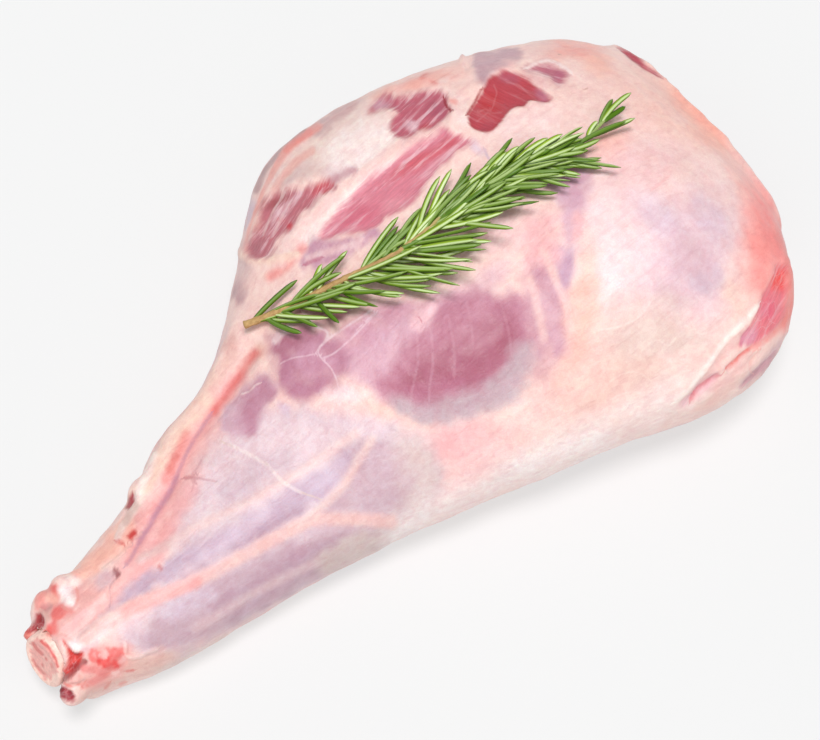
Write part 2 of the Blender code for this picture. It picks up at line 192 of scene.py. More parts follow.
def makeStudio():
    scene = bpy.context.scene
    scene.view_settings.view_transform = "Standard"
    camera = bpy.data.objects.new("camera", bpy.data.cameras.new("camera"))
    scene.collection.objects.link(camera)
    camera.data.lens = viewPoint["lens"]
    camera.data.sensor_width = viewPoint["sensor"]
    away = Vector(sightLine())
    camera.location = Vector(viewPoint["target"]) + away * viewPoint["distance"]
    camera.rotation_euler = away.to_track_quat("Z", "Y").to_euler()
    scene.camera = camera

    deselectAll()
    bpy.ops.mesh.primitive_plane_add(size=studio["floorSize"])
    floor = bpy.context.active_object
    floor.name = "floor"
    material, tree = newMaterial("matt_paper_floor")  # plain studio paper: pale, without gloss
    spots = addNode(tree, "ShaderNodeTexNoise", None, {"Scale": studio["floorNoise"]})
    pale = addNode(tree, "ShaderNodeMix", {"data_type": "RGBA"},
                   {"Factor": spots, "A": colorOf(studio["floorColors"][0]),
                    "B": colorOf(studio["floorColors"][1])})
    shader = addNode(tree, "ShaderNodeBsdfPrincipled", None, {
        "Base Color": pale, "Roughness": 1.0, "Specular IOR Level": 0.0,
        "Emission Color": (*studio["floorGlow"], 1), "Emission Strength": 1.0})
    addNode(tree, "ShaderNodeOutputMaterial", None, {"Surface": shader})
    floor.data.materials.append(material)

    world = bpy.data.worlds.new("studio")
    scene.world = world
    world.use_nodes = True
    background = world.node_tree.nodes["Background"]
    background.inputs["Color"].default_value = (1, 1, 1, 1)
    background.inputs["Strength"].default_value = studio["worldStrength"]

    for name, (strength, spread, side) in studio["lights"].items():
        light = bpy.data.objects.new(name, bpy.data.lights.new(name, "SUN"))
        light.data.energy = strength
        light.data.angle = math.radians(spread)
        towards = Vector(side)
        towards.rotate(Matrix.Rotation(math.radians(viewPoint["azimuth"]), 3, "Z"))
        light.rotation_euler = towards.to_track_quat("Z", "Y").to_euler()
        scene.collection.objects.link(light)
    print("studio ready")


# Leg of lamb. The CAD skin is taken over, made finer, and given its small forms and its colours.
legShape = {
    "voxel": 1.53, "merge": 0.0001, "smoothing": 24,
    # the shank's sawn end stays crisp and gets a finer mesh above the floor
    "shankSmoothing": 0.18, "shankStart": -165.0, "shankBlend": 25.0, "fineEnd": -150.0, "fineHeight": 6.0,
    # the relief grows in from the first of these heights above the floor to the second
    "floorFade": (3.0, 12.0),
    # cuts of bare muscle: how deep and how steep they sink, and the lip of fat round them
    "sink": 1.1, "sinkSteps": (-0.3, 1.8), "lip": 0.5, "lipPlace": 1.4, "lipWidth": 1.1,
    "ragged": 0.7, "raggedNoise": (2.8, 3), "evenEdge": 0.6, "cutReach": -2.5, "marbling": 0.4,
    "bumpFall": 1.5,
    # the rump's cut end: from here on, where the skin faces away from the shank
    "rumpStart": 150.0, "rumpFacing": 0.86, "rumpSharpness": 30.0,
    # ripples of the skin: height, size, seed
    "ripples": ((0.8, 22.0, 5), (0.35, 7.0, 6)),
    # the sides that the photo hides: colour, size, seed, strength and the noise where it starts and ends
    "hiddenFat": "f8d6cd",
    "hiddenPatches": (("dcbac6", (0.6, 1, 1), 26.0, 21, 0.8, (-0.1, 0.45)),
                      ("f5a9a2", (1, 1, 1), 18.0, 22, 0.5, (0.15, 0.5))),
    # clouds in the colour: size, seed, shift of red, green and blue
    "clouds": ((15.0, 31, (0.02, 0.04, 0.05)), (7.0, 32, (0.01, 0.035, 0.03)), (4.0, 33, (0.01, 0.0, 0.02))),
}

# All points are pixels of the photo; widths, softness and rises are in mm.
# Every row starts with a name and a colour. Glows are soft patches: strength, middle, end of the long
# axis, half width in pixels. Areas: strength, softness, outline. Leans are cuts of bare muscle:
# softness, (way of the fibres in degrees, marbling, net of white threads), outline. Lines: strength,
# half width, softness, rise, points.
legPaint = {
    "fat": "fbdcd3", "muscle": "c4606a",
    "glows": [
        ("midThigh", "fde1e1", 0.95, (622, 225), (630, 335), 70),
        # painted highlight: whiter fat on the top of the thigh
        ("midThighWhite", "fdeaea", 0.7, (610, 262), (614, 300), 22),
        ("rumpWarm", "fbd0c3", 0.85, (690, 105), (590, 65), 42),
        ("rumpPeach", "ffb6a3", 0.9, (704, 110), (742, 160), 26),
        ("rumpPeachLow", "ffcabc", 0.9, (740, 174), (752, 200), 14),
        ("rumpFlush", "fbcfc9", 0.6, (752, 172), (776, 225), 17),
        ("coolRump", "f0d4db", 0.95, (690, 258), (722, 165), 58),
        ("cloudPink", "f9d3d2", 0.8, (640, 160), (700, 150), 26),
        ("cloudLavender1", "e0cbd9", 0.7, (658, 216), (690, 236), 22),
        ("cloudLavender2", "dcc5d2", 0.65, (712, 220), (735, 250), 19),
        ("cloudMauve", "e0c2cb", 0.85, (694, 264), (722, 300), 30),
        ("cloudBlue1", "cfbccd", 0.5, (702, 284), (708, 298), 11),
        ("cloudBlue2", "d4c0d0", 0.5, (719, 278), (726, 292), 11),
        ("cloudMauve2", "e0c0c8", 0.6, (668, 292), (680, 306), 14),
        ("rumpCream", "fadbcd", 0.7, (735, 300), (745, 330), 16),
        ("creamLow", "eedad0", 0.9, (662, 338), (732, 345), 22),
        ("creamLow2", "f3dbd1", 0.85, (640, 368), (700, 386), 24),
        ("peachLowRump", "fbd2c5", 0.75, (604, 402), (664, 412), 20),
        # the next two rows: fat of the lower near flank, painted paler as painted light from the viewer's
        # side
        ("lowerFat", "ffece5", 0.95, (640, 412), (550, 446), 30),
        ("bottomFat", "fdeae3", 0.9, (560, 452), (470, 488), 24),
        ("peachBand", "ffcfc0", 0.9, (588, 300), (586, 225), 17),
        ("peachLow", "fbdcd2", 0.8, (585, 375), (560, 430), 24),
        ("besideOval", "f0cdc8", 0.7, (545, 330), (548, 250), 26),
        ("pinkByStripe", "f6c0c4", 0.85, (536, 258), (548, 226), 13),
        ("stripeMauve1", "d2a8ba", 0.85, (563, 280), (569, 320), 7),
        ("stripeMauve2", "dab9c8", 0.55, (572, 215), (578, 258), 9),
        ("pinkFlush", "f9c6c6", 0.95, (452, 442), (520, 432), 24),
        ("pinkFlushLow", "ffd6d4", 0.8, (474, 470), (520, 452), 24),
        # purple skin right under the sprig's tip, darkened as painted shadow of the sprig
        ("purpleUnderTip", "c996ac", 1.0, (556, 172), (592, 168), 18),
        ("purpleUnderTip2", "dcb7c6", 0.65, (566, 198), (574, 240), 15),
        ("pinkBesideTip", "fcc6bc", 0.8, (608, 142), (640, 122), 18),
        ("pinkBelowSprig", "f5cfcf", 0.8, (512, 232), (552, 222), 26),
        ("mauveBelowSprig", "e3b9cb", 0.55, (490, 280), (515, 262), 14),
        ("paleBelowSprig", "f6d5d9", 0.9, (452, 302), (475, 285), 15),
        ("kneeFat", "fde2da", 1.0, (330, 408), (292, 418), 18),
        ("kneeFatTop", "fde6e6", 0.95, (340, 394), (370, 400), 10),
        ("kneePeach", "fcd4c6", 0.8, (392, 416), (434, 424), 12),
        ("kneeFatLeft", "fbdcd2", 0.95, (240, 444), (272, 434), 11),
        ("kneeFatLow", "f6d3cb", 0.85, (232, 458), (250, 450), 9),
        ("tendonRed", "e3938c", 0.7, (140, 520), (150, 512), 7),
        ("greyAboveA", "c69a9a", 0.7, (290, 180), (306, 172), 8),
        ("leftMauve", "b58790", 0.85, (238, 292), (240, 276), 9),
        ("leftMauveLow", "e0b2aa", 0.8, (230, 350), (234, 330), 9),
        ("underFoot", "eab3a5", 0.6, (262, 352), (268, 344), 8),
        ("whiteTop", "fff8f6", 0.7, (372, 150), (392, 140), 16),
        ("nearFlankLight", "f6e0e0", 0.6, (372, 532), (392, 520), 14),
        ("endTan", "d99b91", 0.6, (140, 660), (150, 656), 9),
        ("thighGrey", "dcbfc2", 0.6, (680, 302), (664, 306), 14),
        ("shankLow", "ecccca", 0.8, (140, 642), (178, 646), 22),
        ("shankPale", "f9d6d3", 0.85, (140, 616), (112, 640), 20),
        # painted highlight on the small lump beside the hole
        ("holeLump", "f2d3d3", 0.8, (108, 574), (113, 572), 5),
        ("tendonFat", "fad6c8", 0.9, (192, 402), (236, 350), 16),
        ("farFat", "f0ddd3", 0.9, (335, 140), (280, 185), 30),
        ("whiteFat", "f9e9df", 0.9, (376, 146), (330, 184), 20),
        ("fatPinkSpot", "fcdcd6", 0.7, (352, 152), (364, 148), 7),
        ("aboveA", "d6b6bc", 0.85, (336, 170), (356, 163), 10),
        ("aboveA2", "dfc9c4", 0.8, (292, 174), (325, 164), 13),
        ("fatRightOfA", "f7e5df", 0.95, (314, 222), (292, 248), 14),
        ("farEdgeMauve", "cfa6a6", 0.8, (342, 112), (368, 97), 7),
        ("farEdgePeach", "edc2b6", 0.8, (376, 94), (392, 88), 6),
        ("farEdgeGrey", "c0a0a4", 0.7, (318, 130), (340, 117), 5),
        ("flankLeft", "e3c4c2", 0.8, (243, 262), (240, 300), 12),
        ("flankLavender", "d9c5d4", 0.8, (248, 215), (252, 196), 6),
        ("topFat", "f8bdb1", 0.95, (422, 82), (370, 94), 9),
        ("topFatRed1", "ec8a80", 0.8, (424, 78), (430, 77), 4),
        ("topFatRed2", "ee8f86", 0.75, (436, 83), (441, 82), 3),
        ("topFatWhite", "fde2da", 0.8, (444, 80), (452, 78), 4),
        ("topFatPale", "fbd3c8", 0.8, (456, 70), (466, 76), 6),
        ("betweenFat", "fbe3dc", 0.95, (459, 112), (466, 134), 12),
        ("fatTip", "f2a79c", 0.8, (451, 101), (455, 107), 4),
        ("nearDFat", "f9dfda", 0.85, (525, 125), (585, 108), 20),
        ("bandD", "f6c9c4", 0.9, (502, 67), (518, 63), 5),
        ("betweenDE", "eec6c2", 0.85, (538, 83), (556, 92), 7),
        ("rimPink", "f9b2a6", 0.9, (574, 50), (540, 50), 12),
        ("rimOrange", "fbbfae", 0.8, (596, 62), (616, 70), 12),
        ("edgeOrange", "eda292", 0.8, (478, 54), (484, 53), 4),
        ("purpleDeep", "b5708a", 0.8, (508, 56), (520, 57), 5),
        ("purpleNotch", "b59cb0", 0.8, (482, 72), (485, 82), 4),
        ("lavenderByTip", "e3cbd9", 0.75, (477, 148), (485, 157), 7),
        ("bigVeil", "e9d3e0", 0.6, (300, 440), (340, 430), 18),
        ("blueSpot1", "cfc0e0", 0.75, (285, 414), (294, 424), 8),
        ("blueSpot2", "c6b5cc", 0.75, (348, 426), (356, 430), 6),
        ("muscleBOrange", "cf5560", 0.7, (424, 158), (384, 182), 8),
        ("muscleBTop", "c95664", 0.8, (452, 142), (466, 140), 7),
        ("muscleBLow", "cf6a7e", 0.8, (356, 216), (332, 228), 10),
        ("muscleBPale", "dd929e", 0.8, (396, 203), (412, 194), 8),
        ("muscleDRed", "bd3a40", 0.9, (490, 102), (503, 92), 14),
        ("muscleDRight", "bd6d80", 0.95, (543, 97), (550, 102), 8),
        ("muscleDTop", "b95e70", 0.7, (508, 76), (522, 82), 6),
        ("muscleDLow", "a84754", 0.7, (486, 127), (494, 122), 6),
        ("muscleCRight", "ad5468", 0.8, (436, 108), (448, 112), 10),
        ("muscleCLow", "e6c2ca", 0.85, (412, 125), (404, 118), 5),
        ("muscleCRed", "bd4452", 0.9, (424, 127), (430, 122), 5),
        ("muscleCLeft", "cf9cab", 0.8, (378, 104), (388, 99), 8),
        ("muscleERight", "b8647c", 0.8, (558, 74), (564, 78), 5),
        ("muscleADark", "a35459", 0.85, (277, 200), (296, 194), 7),
        ("muscleABright", "c8545f", 0.9, (322, 187), (309, 200), 7),
        ("muscleARed1", "c02f3c", 0.95, (278, 219), (283, 222), 4),
        ("muscleARed2", "c53f4c", 0.95, (290, 225), (294, 229), 4),
        ("muscleALow", "b5707a", 0.6, (256, 246), (263, 234), 7),
        ("muscleSlabTop", "f0504c", 1.0, (781, 279), (785, 262), 12),
        ("muscleSlabMid", "e2637a", 0.85, (769, 312), (776, 300), 10),
        ("muscleSlabLow", "dc92a6", 0.9, (750, 338), (764, 328), 9),
        # red muscle in the hollow, deepened towards its middle as painted shade
        ("muscleHollowDeep", "9a2228", 0.9, (41, 618), (41, 624), 4),
        ("muscleEndDeep", "7f1c26", 0.8, (61, 690), (64, 694), 3),
        ("muscleEndDeep2", "8e2430", 0.8, (70, 693), (72, 697), 3),
        # the next two rows: red tissue behind the bone, darkened as painted shade in its sunk recess
        ("muscleBehindDark", "9c2426", 0.9, (78, 653), (82, 655), 4),
        ("muscleBehindLow", "a3292c", 0.9, (73, 668), (80, 665), 4),
    ],
    "areas": [
        ("flushSkin", "f9c1be", 0.85, 6, ((214, 396), (236, 374), (244, 380), (232, 404), (224, 436),
             (220, 466), (206, 494), (184, 520), (166, 548), (150, 576), (132, 598), (110, 608),
             (96, 600), (112, 578), (130, 548), (142, 518), (158, 484), (176, 450), (196, 420))),
        ("flushLow", "f5a9a8", 0.6, 3.5, ((200, 486), (196, 500), (180, 524), (160, 556), (142, 584),
             (132, 592), (140, 566), (156, 536), (176, 506), (186, 490))),
        ("orangeSkin", "fdc3b2", 0.95, 3, ((128, 520), (110, 536), (92, 552), (70, 572), (84, 576),
             (100, 566), (118, 552), (132, 536))),
        ("tendonPeach", "fbdccb", 0.95, 3, ((204, 396), (192, 412), (172, 432), (152, 460), (134, 488),
             (124, 504), (130, 508), (146, 492), (162, 468), (180, 440), (200, 416), (212, 400))),
        ("shankVeil", "dec8d0", 1.0, 7, ((150, 612), (170, 566), (192, 524), (212, 488), (226, 448),
             (262, 418), (300, 411), (345, 417), (395, 428), (429, 452), (439, 488), (412, 516),
             (385, 541), (330, 575), (262, 612), (190, 648), (150, 658), (128, 642), (130, 626))),
        ("shankLavender", "e8d3d8", 1.0, 8, ((226, 432), (262, 422), (318, 424), (368, 431), (345, 452),
             (300, 474), (250, 496), (205, 520), (176, 541), (190, 508), (206, 468))),
        ("shankGrey", "d8c3cd", 0.7, 4, ((216, 488), (250, 462), (290, 452), (300, 462), (262, 480),
             (226, 504))),
        ("kneeMauve", "d2b8c2", 0.95, 5, ((339, 451), (375, 440), (416, 448), (436, 476), (420, 500),
             (392, 514), (345, 512), (318, 505))),
        ("kneeCream", "e6d4cd", 0.7, 8, ((396, 440), (424, 448), (437, 482), (420, 512), (396, 524),
             (410, 490))),
        ("midStripe", "cbb4c6", 0.95, 2.6, ((84, 624), (105, 602), (125, 587), (150, 573), (180, 555),
             (210, 537), (240, 519), (270, 501), (300, 483), (330, 467), (352, 450), (350, 468),
             (330, 486), (300, 508), (270, 523), (240, 541), (215, 553), (190, 567), (160, 585),
             (130, 602), (105, 615))),
        ("midDeep", "b797aa", 0.75, 4, ((183, 578), (200, 566), (222, 552), (245, 538), (268, 522),
             (290, 508), (300, 504), (298, 514), (280, 526), (262, 538), (240, 550), (218, 562),
             (198, 574), (188, 582))),
        ("calf", "ccb0bb", 1.0, 4.5, ((146, 634), (170, 612), (200, 594), (232, 574), (272, 553),
             (320, 535), (368, 531), (392, 534), (368, 551), (320, 575), (272, 600), (224, 626),
             (180, 644), (150, 652))),
        ("calfDeep", "bf9fae", 0.75, 4, ((212, 606), (250, 582), (290, 556), (330, 540), (346, 542),
             (320, 566), (276, 590), (232, 614))),
        ("calfCream", "dac9c2", 0.8, 4, ((322, 556), (360, 534), (396, 530), (410, 534), (372, 556),
             (330, 576))),
        ("calfLavender", "dccbd8", 0.8, 3.5, ((162, 612), (180, 598), (204, 588), (214, 594), (196, 610),
             (174, 618))),
        ("calfEdge", "e4d1ca", 0.85, 3.5, ((150, 668), (200, 650), (260, 620), (330, 584), (396, 546),
             (402, 554), (330, 600), (260, 636), (190, 668))),
        ("shankEndSkin", "f5beb8", 0.9, 4, ((56, 604), (80, 588), (104, 574), (120, 584), (112, 604),
             (96, 618), (78, 634), (64, 640), (54, 628))),
        ("endCream", "ecc5b9", 0.9, 4, ((90, 676), (118, 660), (150, 652), (176, 652), (150, 672),
             (112, 690), (84, 702), (76, 700))),
        ("endPink", "f5aea6", 0.65, 3, ((82, 670), (100, 664), (118, 664), (112, 678), (96, 690),
             (84, 686))),
        ("endLavender", "ddc0c6", 0.8, 2.5, ((94, 578), (104, 570), (114, 572), (108, 582), (98, 586))),
        ("flushRight", "ffaaa4", 0.95, 8, ((750, 184), (764, 190), (786, 235), (801, 279), (796, 316),
             (779, 330), (769, 310), (757, 292), (751, 262), (746, 225))),
        ("flushHot", "f88c88", 0.75, 6, ((764, 206), (777, 225), (788, 250), (796, 268), (786, 264),
             (772, 258), (762, 246))),
        ("flushEdge", "f3938e", 0.9, 2.2, ((780, 226), (790, 238), (799, 258), (802, 276), (792, 270),
             (785, 256), (777, 240))),
        ("bandWhite", "fff1ec", 0.7, 5, ((285, 252), (300, 228), (330, 197), (352, 178), (368, 160),
             (378, 168), (352, 202), (318, 244), (300, 258))),
        ("topWhite", "fff4f0", 0.7, 6, ((326, 152), (350, 130), (382, 124), (394, 132), (386, 148),
             (366, 162), (344, 176), (334, 170))),
        ("nearRimLight", "fff6f3", 0.8, 9, ((392, 532), (430, 502), (480, 482), (520, 462), (560, 448),
             (600, 436), (598, 448), (560, 462), (520, 480), (480, 500), (430, 524), (396, 546))),
        ("besideBand", "dfb2b6", 0.95, 6, ((530, 270), (545, 262), (558, 286), (566, 300), (562, 330),
             (569, 352), (560, 372), (545, 378), (532, 366), (528, 330), (526, 300))),
        ("stripeDark1", "cf9cac", 0.85, 3.5, ((536, 268), (546, 262), (552, 280), (560, 300), (564, 325),
             (562, 348), (552, 350), (546, 325), (540, 300), (535, 284))),
        ("stripeDark2", "d3a3ae", 0.8, 3, ((525, 296), (531, 294), (538, 315), (543, 340), (542, 356),
             (535, 352), (529, 326))),
        ("stripeDark3", "c8a1ba", 0.85, 3, ((551, 246), (572, 246), (572, 262), (570, 278), (568, 293),
             (563, 291), (558, 274), (553, 258))),
        ("stripeUp", "d9aec2", 0.85, 5, ((558, 176), (584, 172), (586, 190), (583, 206), (575, 214),
             (566, 206), (556, 192))),
        ("stripeUp2", "e0b6c4", 0.8, 3, ((560, 214), (572, 212), (578, 220), (572, 238), (566, 240),
             (562, 228))),
        ("stripePeach", "f8c4c2", 0.7, 2.5, ((574, 216), (581, 220), (579, 240), (573, 236))),
        ("stripePink", "f4bebf", 0.7, 5, ((532, 216), (550, 212), (560, 240), (552, 262), (536, 262),
             (526, 244))),
        ("peachBandLow", "f6c2b2", 0.8, 5, ((567, 300), (574, 286), (586, 282), (590, 300), (588, 330),
             (584, 352), (572, 372), (560, 384), (562, 366), (569, 346), (565, 322))),
        ("peachUnder", "f3cfc3", 0.7, 9, ((560, 372), (590, 356), (625, 352), (660, 362), (640, 384),
             (600, 398), (566, 400))),
        ("creamPatch", "e8d0c6", 0.7, 9, ((606, 322), (640, 302), (674, 300), (678, 330), (664, 350),
             (630, 356), (606, 346))),
        ("slabRim", "f88a80", 0.95, 2.5, ((788, 262), (799, 270), (802, 290), (796, 312), (784, 328),
             (784, 312), (789, 292), (788, 276))),
        ("lowerLip", "fddad0", 0.95, 3, ((757, 306), (742, 333), (738, 347), (730, 358), (718, 372),
             (700, 388), (688, 398), (680, 398), (700, 376), (716, 352), (735, 328))),
        ("lowerFlap", "fbd8ce", 0.95, 2.5, ((781, 329), (770, 342), (752, 355), (735, 369), (715, 387),
             (700, 401), (690, 412), (702, 411), (722, 395), (744, 376), (764, 356), (778, 342))),
        ("flapPink", "f9cdc6", 0.6, 2, ((742, 352), (728, 368), (712, 382), (704, 388), (712, 390),
             (730, 376), (744, 362))),
        ("ovalLight", "d8a5b7", 1.0, 5, ((424, 306), (440, 294), (466, 290), (493, 298), (514, 294),
             (524, 310), (527, 340), (523, 366), (509, 388), (480, 406), (450, 414), (420, 412),
             (395, 402), (372, 388), (352, 376), (332, 358), (345, 330), (375, 312), (400, 304))),
        ("lobe", "c0869c", 0.95, 5, ((275, 341), (296, 335), (316, 330), (339, 345), (352, 363),
             (336, 381), (308, 396), (289, 394), (278, 379))),
        ("lobePale", "d4a2b6", 0.6, 3, ((300, 352), (322, 348), (336, 360), (326, 374), (306, 376))),
        ("lobeDark", "b97b8e", 0.85, 5, ((276, 340), (293, 330), (309, 328), (306, 341), (289, 346),
             (278, 351))),
        # painted shadow of the rosemary sprig on the skin beneath it
        ("underSprig", "b27a82", 0.9, 4, ((300, 309), (346, 306), (346, 318), (333, 326), (312, 318))),
        ("patch", "dab6c3", 1.0, 3, ((256, 379), (271, 383), (272, 394), (263, 411), (251, 433),
             (226, 433), (219, 424), (226, 408), (240, 396))),
        ("patchDark", "c18a9f", 0.85, 4, ((260, 381), (271, 384), (270, 398), (261, 411), (252, 430),
             (243, 428), (240, 414), (246, 396))),
        ("belowB", "cfa0b3", 1.0, 3, ((318, 241), (335, 239), (352, 236), (366, 232), (377, 229),
             (369, 241), (356, 250), (345, 256), (332, 262), (318, 268), (304, 268), (300, 261),
             (308, 250))),
        ("ovalDark", "bf7c91", 0.9, 6, ((404, 336), (430, 312), (466, 298), (508, 298), (522, 318),
             (525, 350), (510, 380), (480, 400), (450, 410), (420, 408), (394, 398), (378, 382),
             (394, 358))),
        ("ovalDeep", "a8576f", 0.8, 7, ((470, 330), (498, 318), (516, 330), (514, 352), (492, 374),
             (456, 388), (424, 388), (408, 378), (424, 362), (446, 350))),
        ("ovalLow", "b8708a", 0.6, 4, ((396, 388), (430, 384), (462, 382), (450, 398), (420, 403))),
        ("ovalRim", "c6b1b8", 0.85, 4.5, ((396, 398), (420, 402), (448, 400), (478, 390), (504, 370),
             (520, 344), (533, 352), (524, 384), (498, 408), (458, 421), (422, 421), (398, 412))),
        ("ovalHaze", "dfb9c6", 0.45, 5, ((352, 366), (372, 342), (396, 322), (416, 308), (430, 304),
             (410, 336), (392, 360), (366, 384), (348, 384))),
        ("ovalFlap", "ecc2c9", 0.9, 2.5, ((410, 320), (418, 306), (432, 299), (444, 294), (441, 304),
             (432, 318), (424, 328), (414, 328))),
        ("purpleTop", "cba8b0", 0.95, 2.4, ((474, 57), (481, 52), (498, 50), (512, 50), (522, 56),
             (517, 62), (504, 64), (494, 69), (489, 77), (484, 85), (480, 80), (477, 70))),
        ("knob", "f1a49b", 1.0, 2, ((35, 604), (36, 594), (44, 589), (54, 588), (61, 592), (61, 602),
             (54, 608), (46, 612), (38, 611))),
        ("knobRed", "e9817a", 0.9, 1.4, ((52, 588), (57, 586), (61, 592), (61, 600), (57, 602),
             (53, 596))),
        ("knobPale", "f8c2b2", 0.9, 1.6, ((46, 600), (51, 596), (58, 600), (56, 606), (48, 606))),
        ("cartilage", "fff8f5", 1.0, 2.2, ((61, 592), (66, 587), (71, 586), (75, 590), (76, 598),
             (73, 606), (68, 609), (63, 606), (61, 598))),
        ("cartilageTop", "fdeae2", 0.95, 2.2, ((65, 580), (71, 574), (78, 577), (80, 585), (74, 586),
             (67, 586))),
        ("tissueRed", "ee6c67", 0.9, 1.8, ((45, 626), (50, 622), (57, 622), (58, 630), (51, 635),
             (45, 632))),
        ("tissueBand", "ec716c", 0.8, 1.8, ((54, 612), (62, 608), (72, 610), (70, 615), (60, 619),
             (54, 618))),
        ("tissueGrey", "dcb0a8", 0.8, 1.5, ((45, 611), (52, 609), (50, 619), (46, 626), (44, 618))),
        ("tendonEnd", "fdf0ee", 1.0, 1.8, ((69, 645), (76, 650), (84, 648), (95, 640), (110, 627),
             (114, 616), (104, 616), (94, 622), (84, 631), (75, 637))),
        ("tendonShade", "e6c3c8", 0.8, 1.8, ((83, 650), (88, 646), (98, 641), (96, 648), (88, 653))),
        ("blotchHalo", "f5a29b", 0.55, 2.6, ((86, 653), (98, 647), (112, 647), (127, 647), (129, 659),
             (120, 673), (103, 673), (90, 666))),
        ("blotch1", "f0706b", 0.75, 1.2, ((88, 655), (94, 650), (101, 653), (103, 660), (96, 664),
             (90, 662))),
        ("blotch2", "ed4c49", 0.9, 1.3, ((98, 661), (106, 657), (114, 660), (117, 666), (111, 671),
             (102, 669))),
        ("blotch3", "ee5d58", 0.75, 1.3, ((106, 653), (114, 650), (124, 650), (125, 657), (116, 661),
             (108, 659))),
        # the next three rows: painted highlights on the wet red tissue
        ("blotchPale1", "fbcfc9", 0.8, 1.0, ((99, 656), (104, 653), (107, 656), (103, 659))),
        ("blotchPale2", "fbd2cc", 0.7, 1.0, ((110, 672), (117, 670), (119, 673), (112, 676))),
        ("blotchPale3", "f9c4bf", 0.7, 1.0, ((116, 660), (123, 659), (124, 662), (118, 664))),
        ("fatLump", "f9bfb6", 1.0, 1.2, ((65, 678), (70, 674), (77, 672), (84, 675), (83, 681), (76, 684),
             (68, 684))),
        ("fatLumpRim", "e98a82", 0.8, 1.2, ((64, 682), (70, 685), (78, 684), (84, 680), (82, 686),
             (74, 687), (66, 687))),
        ("flapTip", "ee7b6f", 1.0, 1.4, ((21, 629), (24, 632), (30, 632), (28, 638), (24, 638))),
    ],
    "leans": [
        ("a", "bd6f79", 1.8, (58, 0.8, 0.0), ((260, 212), (266, 199), (278, 192), (292, 188), (303, 187),
             (316, 183), (328, 179), (335, 183), (337, 188), (330, 192), (322, 195), (316, 202),
             (310, 208), (302, 211), (298, 219), (293, 229), (284, 234), (277, 241), (274, 250),
             (267, 258), (259, 261), (251, 257), (247, 248), (251, 238), (257, 229), (262, 220))),
        ("b", "d67f8f", 1.5, (40, 0.65, 0.0), ((436, 134), (443, 127), (452, 133), (462, 136), (470, 137),
             (472, 143), (465, 147), (456, 152), (450, 160), (442, 166), (434, 176), (424, 188),
             (416, 199), (405, 207), (394, 213), (385, 216), (380, 226), (366, 231), (350, 234),
             (335, 237), (322, 240), (318, 238), (324, 226), (333, 216), (341, 205), (352, 194),
             (365, 180), (380, 169), (396, 158), (410, 148), (424, 140))),
        ("c", "bd6272", 1.8, (46, 0.7, 0.0), ((368, 113), (375, 101), (389, 93), (398, 96), (419, 90),
             (433, 89), (445, 92), (448, 101), (450, 109), (450, 115), (445, 120), (438, 125), (430, 130),
             (421, 130), (413, 137), (404, 139), (395, 135), (389, 129), (392, 119), (396, 112),
             (389, 109), (380, 110))),
        ("d", "b94852", 0.9, (-25, 0.15, 0.0), ((468, 116), (469, 111), (482, 92), (489, 79), (501, 72),
             (515, 72), (527, 78), (536, 86), (548, 97), (552, 100), (547, 103), (536, 102), (529, 102),
             (524, 106), (515, 107), (507, 114), (501, 123), (493, 130), (486, 132), (474, 129),
             (469, 124))),
        ("e", "bf6f7f", 2.0, (-18, 0.9, 0.0), ((523, 68), (536, 63), (551, 63), (562, 69), (567, 75),
             (565, 82), (559, 86), (551, 82), (539, 74), (527, 71))),
        ("slab", "e97782", 1.4, (62, 0.45, 0.45), ((775, 265), (788, 265), (786, 278), (787, 292),
             (785, 310), (779, 325), (768, 337), (756, 345), (745, 347), (738, 345), (742, 333),
             (752, 322), (757, 308), (762, 295), (770, 282))),
        ("pocket", "ecb6c0", 2.0, (50, 0.4, 0.0), ((716, 374), (708, 380), (697, 386), (688, 395),
             (681, 404), (684, 407), (692, 400), (702, 391), (712, 383))),
        ("strip", "cf98a2", 1.5, (47, 0.6, 0.0), ((786, 336), (783, 347), (774, 360), (763, 372),
             (750, 383), (740, 389), (742, 381), (752, 371), (764, 359), (776, 346))),
        ("rim", "b9505e", 1.0, (-32, 0.6, 0.0), ((617, 47), (628, 50), (639, 57), (645, 65), (658, 72),
             (663, 78), (650, 73), (636, 64), (626, 56))),
        ("muscleEnd", "a8343f", 0.8, (40, 0.1, 0.3), ((57, 690), (60, 685), (66, 686), (72, 690),
             (75, 696), (73, 701), (68, 701), (61, 696))),
        ("hollow", "b2343a", 0.9, (60, 0.1, 0.3), ((35, 614), (41, 613), (44, 619), (44, 627), (37, 631),
             (29, 633), (27, 631), (32, 625), (35, 620))),
        ("behindBone", "d6453f", 0.9, (60, 0.1, 0.3), ((62, 640), (68, 645), (74, 652), (83, 652),
             (83, 658), (79, 665), (74, 670), (66, 675), (58, 682), (56, 678), (66, 668), (68, 656))),
    ],
    "lines": [
        ("seam1", "f2d5d1", 0.75, 1.4, 2.0, 0.3, ((140, 560), (168, 544), (196, 528), (223, 514),
             (252, 500), (293, 476), (320, 459), (343, 442), (356, 434))),
        ("seam2", "f3cbc4", 0.85, 2.3, 2.2, 0.4, ((84, 638), (110, 618), (140, 602), (176, 589),
             (220, 568), (260, 546), (300, 525), (320, 519), (350, 519), (392, 522))),
        ("seam2Red", "f4b3af", 0.85, 2.1, 2.0, 0.0, ((126, 612), (150, 601), (172, 592), (196, 582))),
        ("seamBranch", "efd2cc", 0.75, 1.4, 1.8, 0.3, ((372, 440), (360, 458), (350, 476), (338, 492),
             (318, 510), (300, 524))),
        ("seamCalf", "ead2d0", 0.5, 1.3, 2.2, 0.0, ((196, 628), (236, 604), (276, 582), (316, 562))),
        ("veinHaze", "f2a6a3", 0.6, 2.0, 2.8, -0.3, ((212, 412), (200, 430), (190, 446), (182, 462),
